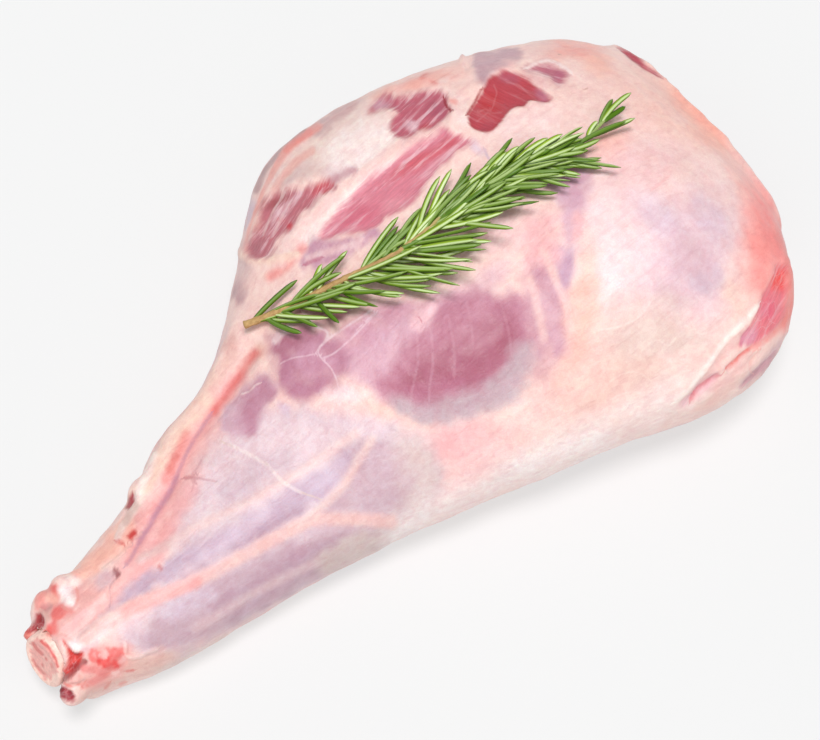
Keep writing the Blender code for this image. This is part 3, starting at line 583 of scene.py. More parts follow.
             (174, 480), (166, 496), (156, 512), (147, 527), (139, 542), (130, 556))),
        ("veinCore", "b27d96", 0.55, 0.9, 1.4, -0.2, ((210, 414), (198, 433), (186, 454), (177, 474),
             (170, 490), (159, 507), (150, 524), (141, 538), (134, 552), (126, 564))),
        ("veinSoft", "c58ba2", 0.45, 1.3, 1.2, -0.2, ((176, 478), (168, 493), (158, 509), (148, 526),
             (140, 541))),
        ("veinRed", "e2645f", 0.75, 1.3, 2.4, -0.4, ((255, 353), (248, 362), (240, 374), (231, 387),
             (222, 399), (214, 410))),
        ("veinSide", "ee8d88", 0.65, 1.4, 1.8, 0.0, ((186, 434), (178, 450), (171, 466), (166, 480))),
        ("starHeart", "b8606c", 0.6, 0.9, 1.2, -0.2, ((186, 478), (191, 477), (195, 478))),
        ("star1", "b86878", 0.4, 0.5, 0.9, -0.3, ((190, 477), (198, 478), (206, 480), (215, 481))),
        ("star2", "b86474", 0.35, 0.5, 0.9, -0.2, ((191, 475), (197, 469), (202, 460))),
        ("star4", "b86474", 0.3, 0.5, 0.8, 0.0, ((192, 480), (194, 485), (192, 490))),
        ("redSpeck1", "d04a46", 0.9, 1.3, 0.8, -0.4, ((130, 537), (134, 532))),
        ("redSpeck2", "d86662", 0.8, 1.0, 0.8, 0.0, ((119, 542), (122, 543))),
        ("redSpeck3", "e08078", 0.7, 1.3, 1.2, 0.0, ((176, 456), (170, 470))),
        ("redSpeck4", "cc6664", 0.7, 1.26, 0.3, 0.0, ((160, 567), (161, 568))),
        ("tendonCut", "b03c44", 1.0, 1.5, 0.9, -1.0, ((127, 504), (133, 496))),
        ("tendonLight", "fff2ea", 0.85, 1.5, 1.3, 0.5, ((153, 455), (148, 470), (142, 485), (137, 497))),
        ("tendonShred", "f6e0d8", 0.8, 1.3, 1.0, 0.6, ((139, 502), (128, 518), (118, 538))),
        ("tendonGrey", "cdb0a4", 0.5, 1.4, 1.4, -0.4, ((136, 506), (130, 513), (126, 522))),
        # the next three rows: a dark line round the lump by a small hole and two thin creases, painted shade
        ("hole", "8f3f48", 0.75, 1.26, 0.5, -0.5, ((115, 571), (118, 575))),
        ("holeCreasePaintedShade", "b98a90", 0.45, 0.4, 0.6, -0.4, ((116, 578), (110, 586), (110, 598), (109, 606))),
        ("tendonCreasePaintedShade", "b58a7e", 0.25, 0.4, 0.7, -0.3, ((150, 522), (138, 534), (126, 548), (112, 560),
             (102, 568))),
        ("thinSinew", "dcc0b4", 0.55, 0.45, 0.7, 0.0, ((222, 442), (250, 455), (270, 466), (282, 479),
             (296, 490), (320, 499))),
        ("thinSinewPale", "fbeee6", 0.4, 0.8, 0.9, 0.2, ((232, 446), (252, 456), (270, 468), (283, 482),
             (300, 492))),
        ("shankSinew", "fbe0d9", 0.6, 0.8, 0.8, 0.6, ((125, 644), (126, 654), (133, 657), (145, 652),
             (156, 648))),
        ("ovalSinew1", "f3dbe3", 0.6, 0.5, 0.8, 0.3, ((371, 310), (364, 316), (349, 325), (331, 338),
             (322, 345), (317, 353))),
        ("ovalSinew2", "f0d6e0", 0.45, 0.4, 0.6, 0.0, ((377, 312), (357, 333), (344, 345), (333, 354),
             (323, 358))),
        ("ovalSinew3", "f0d6e0", 0.5, 0.35, 0.5, 0.2, ((318, 353), (323, 360), (331, 368), (336, 378),
             (338, 386))),
        ("ovalSinew4", "f0d6e0", 0.4, 0.35, 0.5, 0.0, ((281, 363), (293, 358), (306, 356), (318, 353))),
        ("ovalSinew6", "f2dfe4", 0.5, 0.5, 0.7, 0.0, ((303, 312), (316, 326), (328, 333), (323, 345))),
        ("ovalLine1", "e4bccb", 0.16, 0.6, 0.9, 0.0, ((431, 330), (433, 363), (430, 383), (429, 399))),
        ("ovalLine2", "e4bccb", 0.16, 0.6, 0.9, 0.0, ((417, 335), (418, 360), (413, 386), (410, 404))),
        ("ovalLine3", "d8a6b6", 0.16, 0.6, 0.9, 0.0, ((466, 300), (471, 323), (473, 346))),
        ("ovalLine4", "dbacba", 0.16, 0.6, 0.9, 0.0, ((500, 302), (508, 329), (512, 356))),
        ("ovalLine5", "dcb0be", 0.16, 0.6, 0.9, 0.0, ((449, 318), (454, 348), (454, 376))),
        ("capillary1", "c06070", 0.6, 0.35, 0.5, 0.0, ((419, 317), (422, 322))),
        ("tornEdge", "fbe8e2", 0.45, 0.4, 0.6, 0.6, ((242, 394), (250, 391), (255, 386), (260, 383))),
        ("lobeRim", "f3dfe0", 0.7, 1.3, 1.0, 0.2, ((275, 341), (280, 334), (289, 328))),
        ("brownDot1", "b98a80", 0.6, 0.35, 0.5, 0.0, ((559, 55), (560, 55))),
        ("brownDot2", "c07a68", 0.6, 0.35, 0.5, 0.0, ((585, 89), (587, 89))),
        ("pinkWrinkle", "f4b9b8", 0.55, 0.5, 0.7, -0.3, ((652, 190), (660, 184), (668, 177))),
        # painted shade: a grey line along a wrinkle
        ("wrinklePaintedShade", "bfa3bd", 0.5, 0.6, 0.8, -0.5, ((485, 149), (487, 155), (489, 158))),
        ("dNet1", "e9b9bc", 0.12, 0.35, 0.6, 0.0, ((494, 84), (497, 91), (495, 98), (492, 107),
             (484, 115), (477, 120))),
        ("dNet3", "e9b9bc", 0.12, 0.35, 0.6, 0.0, ((507, 81), (513, 82), (520, 84), (529, 93),
             (536, 99))),
        ("dNet5", "e9b9bc", 0.12, 0.35, 0.6, 0.0, ((479, 111), (486, 108), (492, 112), (501, 111))),
        ("peachStripe1", "f9d6ce", 0.5, 1.3, 1.4, 0.0, ((530, 280), (537, 306), (544, 338))),
        ("peachStripe2", "fbd5cc", 0.5, 1.3, 1.4, 0.0, ((543, 250), (553, 274), (565, 302), (571, 332))),
        ("redStreakLeft", "f79d96", 0.75, 1.4, 2.2, 0.0, ((302, 247), (294, 257), (287, 266), (278, 272),
             (270, 277))),
        ("stripAB", "fcdcd5", 0.85, 2.2, 2.0, 0.5, ((280, 262), (300, 232), (318, 212), (340, 190),
             (366, 172), (392, 152), (418, 138))),
        ("purpleEdge", "ab8286", 0.8, 1.4, 1.3, 0.0, ((256, 190), (263, 171), (276, 156), (291, 142),
             (304, 132))),
        ("orangeEdge1", "f2a79b", 0.7, 1.3, 1.0, 0.4, ((247, 252), (251, 235), (257, 215), (266, 190),
             (276, 168), (286, 152), (298, 142), (311, 133), (319, 127))),
        ("paleEdge", "f2dcd5", 0.7, 1.3, 1.1, 0.3, ((253, 242), (263, 212), (273, 188), (284, 170))),
        ("orangeEdge2", "ecb3a8", 0.65, 1.3, 1.2, 0.0, ((258, 232), (268, 205), (280, 182), (296, 162),
             (312, 150))),
        ("redEdge", "ee8a82", 0.6, 1.3, 1.0, 0.0, ((287, 150), (297, 142), (310, 133))),
        ("aTail", "bf8492", 0.7, 1.4, 1.4, 0.0, ((332, 182), (343, 175), (354, 170))),
        ("aStreak1", "e4c4c2", 0.6, 0.5, 0.8, 0.0, ((262, 234), (270, 214), (278, 200), (286, 190))),
        ("aStreak2", "e4c4c2", 0.5, 0.45, 0.8, 0.0, ((271, 236), (281, 214), (290, 200))),
        ("cLoop", "b96a7c", 0.25, 0.4, 0.5, 0.0, ((394, 134), (400, 139), (406, 138), (410, 140))),
        ("cRing", "c79aa6", 0.22, 0.45, 0.6, 0.0, ((402, 149), (406, 143), (412, 144), (410, 149),
             (402, 149))),
        # the next two rows: the dark red of the muscle in creases at the cuts' edges, deepened as painted
        # shade
        ("creaseCPaintedShade", "9c3440", 0.95, 0.6, 0.5, -1.0, ((444, 97), (446, 104), (451, 111))),
        ("creaseDPaintedShade", "a83a40", 0.9, 0.5, 0.5, -0.8, ((467, 115), (474, 103), (481, 90))),
        ("membraneE", "fbe6e2", 0.75, 0.6, 0.8, 0.3, ((526, 68), (540, 62), (553, 62), (563, 67),
             (571, 74))),
        ("tornLip", "fbdccc", 0.9, 1.4, 1.2, 0.8, ((240, 252), (251, 260), (278, 260), (297, 254))),
        ("lipB", "f0d0d0", 0.75, 1.3, 1.0, 0.4, ((308, 258), (328, 252), (350, 246), (362, 240))),
        ("darkSliver", "b9607a", 0.7, 0.8, 0.9, 0.0, ((306, 264), (313, 261), (320, 259))),
        ("lipFold", "fff3ec", 0.75, 1.1, 0.7, 0.45, ((757, 306), (747, 318), (735, 330), (722, 345),
             (710, 362), (698, 378), (685, 391), (676, 399))),
        ("lipShade", "efc8c2", 0.6, 1.3, 1.6, -0.5, ((740, 336), (726, 352), (712, 368), (698, 383))),
        ("redCrease", "ea6662", 0.8, 0.8, 0.8, -0.9, ((752, 348), (744, 352), (736, 360), (727, 368))),
        ("redCreaseUp", "f08a83", 0.7, 1.0, 1.0, -0.6, ((783, 323), (774, 334), (763, 342), (752, 348))),
        ("pocketCrease", "e0727c", 0.7, 0.8, 0.9, -0.7, ((718, 375), (708, 382), (698, 390), (691, 400))),
        ("flapCrease", "f3b9b0", 0.6, 0.5, 0.8, -0.4, ((757, 352), (750, 360), (748, 368), (753, 374))),
        # painted shade along the lower edge of the raised cartilage
        ("cartilagePaintedShade", "e39a92", 0.8, 0.6, 0.6, 0.0, ((63, 607), (69, 610), (75, 606), (78, 598),
             (77, 590))),
        ("knobPurple", "c08a90", 0.45, 1.3, 0.9, 0.0, ((44, 608), (49, 606))),
        ("hollowRim", "e2b3aa", 0.8, 0.8, 0.6, 0.3, ((42, 611), (46, 617), (46, 626), (40, 631))),
        # painted shade: a dark red line in the crease beside the bone
        ("darkLinePaintedShade", "9a3538", 0.85, 1.3, 0.8, -0.8, ((84, 662), (76, 668), (68, 675), (59, 682))),
        ("redWisp1", "f08a86", 0.7, 1.3, 1.2, 0.0, ((84, 668), (94, 670), (104, 674))),
        ("redWisp2", "ee8783", 0.65, 1.3, 1.2, 0.0, ((92, 682), (102, 676), (110, 668))),
        ("pinkWisp3", "f9cdca", 0.7, 1.3, 1.0, 0.0, ((64, 630), (74, 622), (86, 612))),
        ("pinkWisp4", "fad6d2", 0.7, 1.3, 1.0, 0.0, ((70, 634), (80, 626), (92, 614))),
        ("bloodDash", "df6a66", 0.75, 0.6, 0.7, 0.0, ((127, 671), (133, 670))),
        ("bloodDot1", "e07a70", 0.7, 0.9, 0.9, 0.0, ((106, 688), (109, 684))),
        ("bloodDot2", "ea8a80", 0.6, 0.9, 0.9, 0.0, ((121, 685), (125, 683))),
        ("wisp1", "fff0e6", 0.2, 0.4, 0.6, 0.0, ((640, 352), (656, 340), (668, 346), (676, 338))),
        ("wisp2", "fff0e6", 0.2, 0.4, 0.6, 0.0, ((604, 388), (618, 376), (636, 372), (650, 380))),
        ("wisp3", "fff2ec", 0.2, 0.4, 0.6, 0.0, ((612, 400), (630, 392), (652, 396), (668, 388))),
        ("wisp4", "fff2ec", 0.2, 0.4, 0.6, 0.0, ((652, 300), (640, 316), (622, 326), (600, 330))),
        ("wisp5", "fff2ec", 0.2, 0.4, 0.6, 0.0, ((690, 320), (700, 334), (716, 328), (730, 314))),
    ],
    # small raised and sunk forms: middle, end of the long axis, half width in pixels, rise
    "bumps": [
        ("cartilage", (68, 598), (69, 610), 7, 1.6), ("cartilageTop", (73, 580), (79, 583), 6, 1.2),
        ("knob", (44, 599), (52, 605), 9, 1.2), ("fatLump", (75, 678), (84, 676), 5, 1.8),
        ("muscleLump", (62, 690), (70, 697), 7, 2.2), ("redTissue", (74, 658), (80, 666), 6, -1.6),
        ("blotch1", (96, 657), (101, 655), 4, 0.9), ("blotch2", (107, 664), (114, 666), 5, 1.0),
        ("blotch3", (116, 655), (123, 654), 4, 0.8), ("tendonEnd", (88, 635), (108, 620), 7, 1.2),
        ("foldAbove", (100, 596), (118, 580), 6, 0.8), ("flapRoot", (40, 626), (36, 629), 5, 0.8),
        ("lipHollow", (712, 372), (732, 348), 6, -0.7), ("lowerRidge", (740, 372), (766, 352), 7, 1.0),
        ("spike", (463, 60), (462, 52), 4, 2.4), ("notch", (468, 66), (470, 60), 3, -1.6),
        ("raisedEdge", (478, 56), (488, 54), 5, 1.2), ("fatFold1", (420, 80), (440, 74), 5, 0.8),
        ("fatFold2", (396, 88), (410, 84), 4, 0.7), ("betweenFold", (452, 120), (458, 100), 5, 0.8),
        ("fatBesideD", (533, 104), (539, 106), 3, 0.8), ("ovalFlap", (430, 306), (440, 297), 5, 0.6),
    ],
}


def fineCopy(name, node, voxel, merge):
    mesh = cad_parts[node].data.copy()
    piece = bpy.data.objects.new(name, mesh)
    bpy.context.scene.collection.objects.link(piece)
    shell = bmesh.new()
    shell.from_mesh(mesh)
    bmesh.ops.remove_doubles(shell, verts=shell.verts, dist=merge)
    shell.to_mesh(mesh)
    shell.free()
    mesh.materials.clear()
    grid = piece.modifiers.new("grid", "REMESH")
    grid.mode = "VOXEL"
    grid.voxel_size = voxel * mm
    grid.use_smooth_shade = True
    applyAll(piece)
    return piece


def relax(piece, weights, rounds):
    group = piece.vertex_groups.new(name="relax")
    for index, weight in enumerate(weights):
        group.add([index], float(weight), "REPLACE")
    step = piece.modifiers.new("relax", "SMOOTH")
    step.factor = 0.5
    step.iterations = rounds
    step.vertex_group = "relax"
    applyAll(piece)
    piece.vertex_groups.clear()


def drawnCurve(points, closed):  # through given photo pixels, in mm
    return softCurve(points, closed, curveSteps) / pixelsPerMm


def inPatch(places, middle, end, half):  # along and across a patch, both 1 at its edge
    axis = np.subtract(end, middle) / pixelsPerMm
    gap = places - np.array(middle) / pixelsPerMm
    across = (gap[:, 0] * axis[1] - gap[:, 1] * axis[0]) / np.hypot(*axis)
    return gap @ axis / (axis @ axis), across * pixelsPerMm / half


def moveAlong(mesh, points, normals, rise):
    mesh.vertices.foreach_set("co", ((points + normals * rise[:, None]) * mm).ravel())
    mesh.update()


def refine(piece, chosen):  # one more cut through the faces round the chosen points
    mesh = piece.data
    for part in (mesh.edges, mesh.polygons):
        part.foreach_set("select", np.zeros(len(part), bool))
    mesh.vertices.foreach_set("select", chosen)
    makeActive(piece)
    bpy.ops.object.mode_set(mode="EDIT")
    bpy.ops.mesh.select_mode(type="VERT")
    bpy.ops.mesh.subdivide(number_cuts=1, ngon=False)
    bpy.ops.mesh.select_all(action="DESELECT")
    bpy.ops.object.mode_set(mode="OBJECT")


# How the paint lies: places and noise in mm
brush = {
    # skin that faces the view by this much starts to show, and shows in full
    "seen": (0.02, 0.28),
    # waves of the soft edges (size, reach, seed), uneven paint (size, seed) and how strong it is
    "warp": ((16.0, 2.0, 51), (6.0, 1.2, 52), (3.0, 0.8, 53)), "warpTwin": 40,
    "uneven": ((8.0, 11), (5.0, 12), (3.0, 13)), "unevenDepth": 0.25,
    "glowEdge": (0.25, 1.25), "glowWander": 0.08,
    # areas with a softness below this are ragged and mottled wet tissue
    "mottledBelow": 2.2, "mottled": (1.7, 14), "mottledDepth": 0.3,
    "areaEdge": 0.6, "areaWander": 0.5, "softestWander": 3, "lineWander": 0.35,
    # a line with a smaller half width than this is a thread, which the material draws
    "threadLimit": 1.25,
}


class Painter:  # paints the rows of a paint list on the points of a mesh
    def __init__(self, points, normals):
        self.places = photoPlaces(points)
        self.seen = smoothStep(normals @ sightLine(), *brush["seen"])
        self.loose = self.places.copy()
        for size, reach, seed in brush["warp"]:
            self.loose += reach * np.column_stack([
                noiseField(points, size, seed), noiseField(points, size, seed + brush["warpTwin"])])
        self.uneven = [noiseField(points, size, seed) for size, seed in brush["uneven"]]
        self.mottled = noiseField(points, *brush["mottled"])
        self.turn = 0

    def blend(self, layer, color, amount):
        self.turn += 1
        rough = 1 + brush["unevenDepth"] * self.uneven[self.turn % len(self.uneven)]
        layer[:] += (np.array(colorOf(color)[:3]) - layer) * np.clip(amount * rough, 0, 1)[:, None]

    def glow(self, layer, color, strength, middle, end, half):
        along, across = inPatch(self.loose, middle, end, half)
        away = np.sqrt(along**2 + across**2) + self.uneven[0] * brush["glowWander"]
        self.blend(layer, color, strength * (1 - smoothStep(away, *brush["glowEdge"])))

    def area(self, layer, color, strength, soft, outline):
        inside = outlineDistance(self.loose, drawnCurve(outline, True))
        inside += self.uneven[1] * min(soft, brush["softestWander"]) * brush["areaWander"]
        fine = max(0.0, brush["mottledBelow"] - soft) * self.mottled
        amount = smoothStep(inside + fine, -soft, soft * brush["areaEdge"])
        self.blend(layer, color, strength * amount * (1 + brush["mottledDepth"] * fine))

    def line(self, layer, color, strength, half, soft, line):
        away, side = lineDistance(self.places, drawnCurve(line, False))
        wander = self.uneven[2] * brush["lineWander"]
        near = 1 - smoothStep(away + wander, half - soft * 0.5, half + soft)
        if half > brush["threadLimit"]:
            self.blend(layer, color, strength * near * self.seen)
        return away, side, near


def paintCuts(places, edge):  # bare muscle, and how far inside a cut each point is
    count = len(places)
    lean = np.full(count, farOutside)
    muscle = np.tile(colorOf(legPaint["muscle"])[:3], (count, 1))
    grain = np.column_stack([places, np.zeros(count), np.full(count, legShape["marbling"])])
    net = np.zeros(count)
    for name, color, soft, (turn, marbling, threads), outline in legPaint["leans"]:
        ragged = edge * min(1, soft - legShape["evenEdge"])
        inside = (outlineDistance(places, drawnCurve(outline, True)) + ragged) / soft
        chosen = inside > np.maximum(lean, legShape["cutReach"])
        muscle[chosen] = colorOf(color)[:3]
        way = np.array([math.cos(math.radians(turn)), -math.sin(math.radians(turn))])
        turned = [places @ way, places @ (-way[1], way[0]), np.zeros(count), np.full(count, marbling)]
        grain[chosen] = np.column_stack(turned)[chosen]
        net[chosen] = threads
        lean = np.maximum(lean, inside)
    return lean, muscle, grain, net


def paintSkin(painter, muscle):  # fat, silver skin, veins and sinews, with painted light, painted highlights and painted shade
    count = len(painter.places)
    tint = np.tile(colorOf(legPaint["fat"])[:3], (count, 1))
    threads = {"gap": np.full(count, noThread), "side": np.full(count, noThread),
               "color": np.zeros((count, 4))}
    rise = np.zeros(count)
    for name, *row in legPaint["glows"]:
        painter.glow(muscle if name.startswith("muscle") else tint, *row)
    for name, *row in legPaint["areas"]:
        painter.area(tint, *row)
    for name, color, strength, half, soft, height, line in legPaint["lines"]:
        away, side, near = painter.line(tint, color, strength, half, soft, line)
        if half <= brush["threadLimit"]:
            closer = away / half < threads["gap"]
            threads["gap"][closer] = away[closer] / half
            threads["side"][closer] = side[closer] / half
            threads["color"][closer] = colorOf(color)[:3] + [strength]
        rise += height * near
    for name, middle, end, half, height in legPaint["bumps"]:
        along, across = inPatch(painter.places, middle, end, half)
        rise += height * np.exp(-legShape["bumpFall"] * (along**2 + across**2))
    threads["color"][:, 3] *= painter.seen
    return tint, threads, rise * painter.seen


def paintHidden(tint, points, seen):  # what the view does not show: fat, thin skin, a little pink
    hidden = np.tile(colorOf(legShape["hiddenFat"])[:3], (len(points), 1))
    for color, stretch, size, seed, strength, steps in legShape["hiddenPatches"]:
        amount = strength * smoothStep(noiseField(points * stretch, size, seed), *steps)
        hidden += (np.array(colorOf(color)[:3]) - hidden) * amount[:, None]
    return hidden + (tint - hidden) * seen[:, None]


def makeLeg():
    piece = fineCopy("lamb_leg", "leg", legShape["voxel"], legShape["merge"])
    mesh = piece.data
    points = readVertices(mesh, "co") / mm
    start = legShape["shankStart"]
    body = smoothStep(points[:, 0], start, start + legShape["shankBlend"])
    relax(piece, legShape["shankSmoothing"] + (1 - legShape["shankSmoothing"]) * body, legShape["smoothing"])
    points = readVertices(mesh, "co") / mm
    refine(piece, (points[:, 0] < legShape["fineEnd"]) & (points[:, 2] > legShape["fineHeight"]))
    print("leg skin", len(mesh.vertices), "points")

    points = readVertices(mesh, "co") / mm
    normals = readVertices(mesh, "normal")
    painter = Painter(points, normals)
    shown = painter.seen > 0.5
    edge = legShape["ragged"] * noiseField(points, *legShape["raggedNoise"])
    lean, muscle, grain, net = paintCuts(painter.places, edge)
    lean = np.where(shown, lean, farOutside)
    rise = -legShape["sink"] * smoothStep(lean, *legShape["sinkSteps"])
    rise += legShape["lip"] * np.exp(-((lean + legShape["lipPlace"]) / legShape["lipWidth"]) ** 2)
    rump = (normals[:, 0] - legShape["rumpFacing"]) * legShape["rumpSharpness"] + edge
    rump = np.where((points[:, 0] > legShape["rumpStart"]) & ~shown, rump, farOutside)
    for height, size, seed in legShape["ripples"]:
        rise += height * noiseField(points, size, seed)

    tint, threads, raised = paintSkin(painter, muscle)
    tint = paintHidden(tint, points, painter.seen)
    # clouds of warmer and cooler, paler and darker fat
    for size, seed, shift in legShape["clouds"]:
        tint *= 1 + noiseField(points, size, seed)[:, None] * np.array(shift)
    moveAlong(mesh, points, normals, (rise + raised) * smoothStep(points[:, 2], *legShape["floorFade"]))

    opaque = np.ones(len(points))
    for name, values in (
            ("tint", np.column_stack([tint, opaque])), ("lean", np.maximum(lean, rump)),
            ("muscle", np.column_stack([muscle, opaque])), ("grain", grain), ("net", net),
            ("threadGap", threads["gap"]), ("threadSide", threads["side"]),
            ("threadColor", threads["color"])):
        writeAttribute(mesh, name, values)
    mesh.materials.append(lambMaterial())
    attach(piece, "root")
    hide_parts("leg")
    print("leg painted")
    return piece


# Noise of the lamb, on places in metres or along the fibres in mm: stretch, scale, detail, roughness, bend.
# Clouds are 12 mm across, spots 3 mm, strands of the membrane 14 by 2 mm, speckle 0.6 mm, fibres 0.8 mm.
lambNoise = {
    "clouds": ("place", (1, 1, 1), 82.0, 4.0, 0.6, 0.0), "spots": ("place", (1, 1, 1), 330.0, 4.0, 0.65, 0.0),
    "strands": ("place", (0.1, 1, 1), 420.0, 5.0, 0.62, 0.4),
    "speckle": ("place", (1, 1, 1), 1600.0, 2.0, 0.6, 0.0),
    "fibres": ("grain", (0.14, 1.3, 1), 1.0, 4.0, 0.7, 0.2),
    "bundles": ("grain", (0.035, 0.36, 1), 1.0, 5.0, 0.62, 0.4),
}


# Raw lamb: fat and thin silver skin over muscle, moist, with soft broad shine. Bare muscle has
# fibres drawn along the grain, with white threads of fat between them.
def lambMaterial():
    material, tree = newMaterial("raw_lamb_meat_and_fat")
    made = {"place": addNode(tree, "ShaderNodeTexCoord", output=3)}
    for name, attribute, output in (
            ("tint", "tint", 0), ("muscle", "muscle", 0), ("threadColor", "threadColor", 0),
            ("lean", "lean", 2),
            ("threadGap", "threadGap", 2), ("threadSide", "threadSide", 2), ("net", "net", 2),
            ("threadStrength", "threadColor", 3), ("marbling", "grain", 3), ("grain", "grain", 1)):
        made[name] = addNode(tree, "ShaderNodeAttribute", {"attribute_name": attribute}, output=output)
    for name, (vector, stretch, scale, detail, rough, bend) in lambNoise.items():
        stretched = addNode(tree, "ShaderNodeMapping", None, {"Vector": made[vector], "Scale": stretch})
        made[name] = addNode(tree, "ShaderNodeTexNoise", None, {
            "Vector": stretched, "Scale": scale, "Detail": detail, "Roughness": rough, "Distortion": bend})

    # fat and silver skin: each pattern, where it is, darkens or whitens the paint a little
    skin = made["tint"]
    for pattern, low, high, most, blend, color in (
            ("clouds", 0.65, 0.35, 1.0, "MULTIPLY", "faf5f6"),
            ("spots", 0.62, 0.38, 1.0, "MULTIPLY", "fbf5f6"),
            ("strands", 0.5, 0.75, 0.14, "SCREEN", "8c7c7c"),
            ("strands", 0.5, 0.3, 0.4, "MULTIPLY", "f0dce2"),
            ("speckle", 0.62, 0.4, 0.3, "MULTIPLY", "f3e6e8")):
        amount = addNode(tree, "ShaderNodeMapRange", {"interpolation_type": "SMOOTHSTEP"}, {
            "Value": made[pattern], "From Min": low, "From Max": high, "To Max": most})
        skin = addNode(tree, "ShaderNodeMix", {"data_type": "RGBA", "blend_type": blend},
                       {"Factor": amount, "A": skin, "B": colorOf(color)})

    # bare muscle: dark and light fibres, threads of fat along them, and a thin white net on some cuts
    shade = addNode(tree, "ShaderNodeMapRange", None, {
        "Value": made["fibres"], "From Min": 0.3, "From Max": 0.7, "To Min": 0.84, "To Max": 1.12})
    meat = addNode(tree, "ShaderNodeMix", {"data_type": "RGBA", "blend_type": "MULTIPLY"},
                   {"Factor": 1.0, "A": made["muscle"], "B": shade})
    thread = addNode(tree, "ShaderNodeMapRange", {"interpolation_type": "SMOOTHSTEP"},
                     {"Value": made["bundles"], "From Min": 0.47, "From Max": 0.7})
    white = addNode(tree, "ShaderNodeMath", {"operation": "MULTIPLY"}, {0: thread, 1: made["marbling"]})
    meat = addNode(tree, "ShaderNodeMix", {"data_type": "RGBA"},
                   {"Factor": white, "A": meat, "B": colorOf("f0cdd3")})
    cell = addNode(tree, "ShaderNodeMapping", None, {"Vector": made["grain"], "Scale": (0.16, 0.3, 1)})
    bent = addNode(tree, "ShaderNodeMix", {"data_type": "RGBA", "blend_type": "ADD"},
                   {"Factor": 0.9, "A": cell, "B": made["bundles"]})
    cells = addNode(tree, "ShaderNodeTexVoronoi", {"feature": "DISTANCE_TO_EDGE"},
                    {"Vector": bent, "Scale": 1.0})
    nearEdge = addNode(tree, "ShaderNodeMapRange", {"interpolation_type": "SMOOTHSTEP"},
                       {"Value": cells, "From Min": 0.06, "From Max": 0.0, "To Max": 0.7})
    broken = addNode(tree, "ShaderNodeMapRange", {"interpolation_type": "SMOOTHSTEP"},
                     {"Value": made["clouds"], "From Min": 0.42, "From Max": 0.6})
    patchy = addNode(tree, "ShaderNodeMath", {"operation": "MULTIPLY"}, {0: nearEdge, 1: broken})
    netted = addNode(tree, "ShaderNodeMath", {"operation": "MULTIPLY"}, {0: patchy, 1: made["net"]})
    meat = addNode(tree, "ShaderNodeMix", {"data_type": "RGBA"},
                   {"Factor": netted, "A": meat, "B": colorOf("eec0c2")})
    frayed = addNode(tree, "ShaderNodeMath", {"operation": "MULTIPLY_ADD"},
                     {0: made["bundles"], 1: -3.2, 2: 1.6})
    depth = addNode(tree, "ShaderNodeMath", {"operation": "ADD"}, {0: made["lean"], 1: frayed})
    cut = addNode(tree, "ShaderNodeMapRange", {"interpolation_type": "SMOOTHSTEP"},
                  {"Value": depth, "From Min": -1.0, "From Max": 1.2})
    color = addNode(tree, "ShaderNodeMix", {"data_type": "RGBA"}, {"Factor": cut, "A": skin, "B": meat})

    # thin veins and sinews, and thin dark creases that are painted shade, fading in and out
    away = addNode(tree, "ShaderNodeMath", {"operation": "ABSOLUTE"}, {0: made["threadSide"]})
    strength = made["threadStrength"]
    for value, low, high, least in ((away, 1.8, 0.2, 0.0), (made["threadGap"], 3.5, 2.0, 0.0),
                                    (made["spots"], 0.3, 0.6, 0.5)):
        share = addNode(tree, "ShaderNodeMapRange", {"interpolation_type": "SMOOTHSTEP"},
                        {"Value": value, "From Min": low, "From Max": high, "To Min": least})
        strength = addNode(tree, "ShaderNodeMath", {"operation": "MULTIPLY"}, {0: strength, 1: share})
    color = addNode(tree, "ShaderNodeMix", {"data_type": "RGBA"},
                    {"Factor": strength, "A": color, "B": made["threadColor"]})

    # moisture: broken shine
    height = addNode(tree, "ShaderNodeMath", {"operation": "MULTIPLY_ADD"},
                     {0: made["strands"], 1: 0.9, 2: made["spots"]})
    bump = addNode(tree, "ShaderNodeBump", None, {"Height": height, "Strength": 0.45, "Distance": 0.0008})
    rough = addNode(tree, "ShaderNodeMapRange", {"interpolation_type": "SMOOTHSTEP"}, {
        "Value": made["spots"], "From Min": 0.3, "From Max": 0.7, "To Min": 0.34, "To Max": 0.54})
    shader = addNode(tree, "ShaderNodeBsdfPrincipled", None, {
        "Base Color": color, "Roughness": rough, "Normal": bump, "IOR": 1.4,
        "Subsurface Weight": 0.1, "Subsurface Radius": (1.0, 0.4, 0.25), "Subsurface Scale": 0.002,
        "Coat Weight": 0.12, "Coat Roughness": 0.25})
    addNode(tree, "ShaderNodeOutputMaterial", None, {"Surface": shader})
    return material


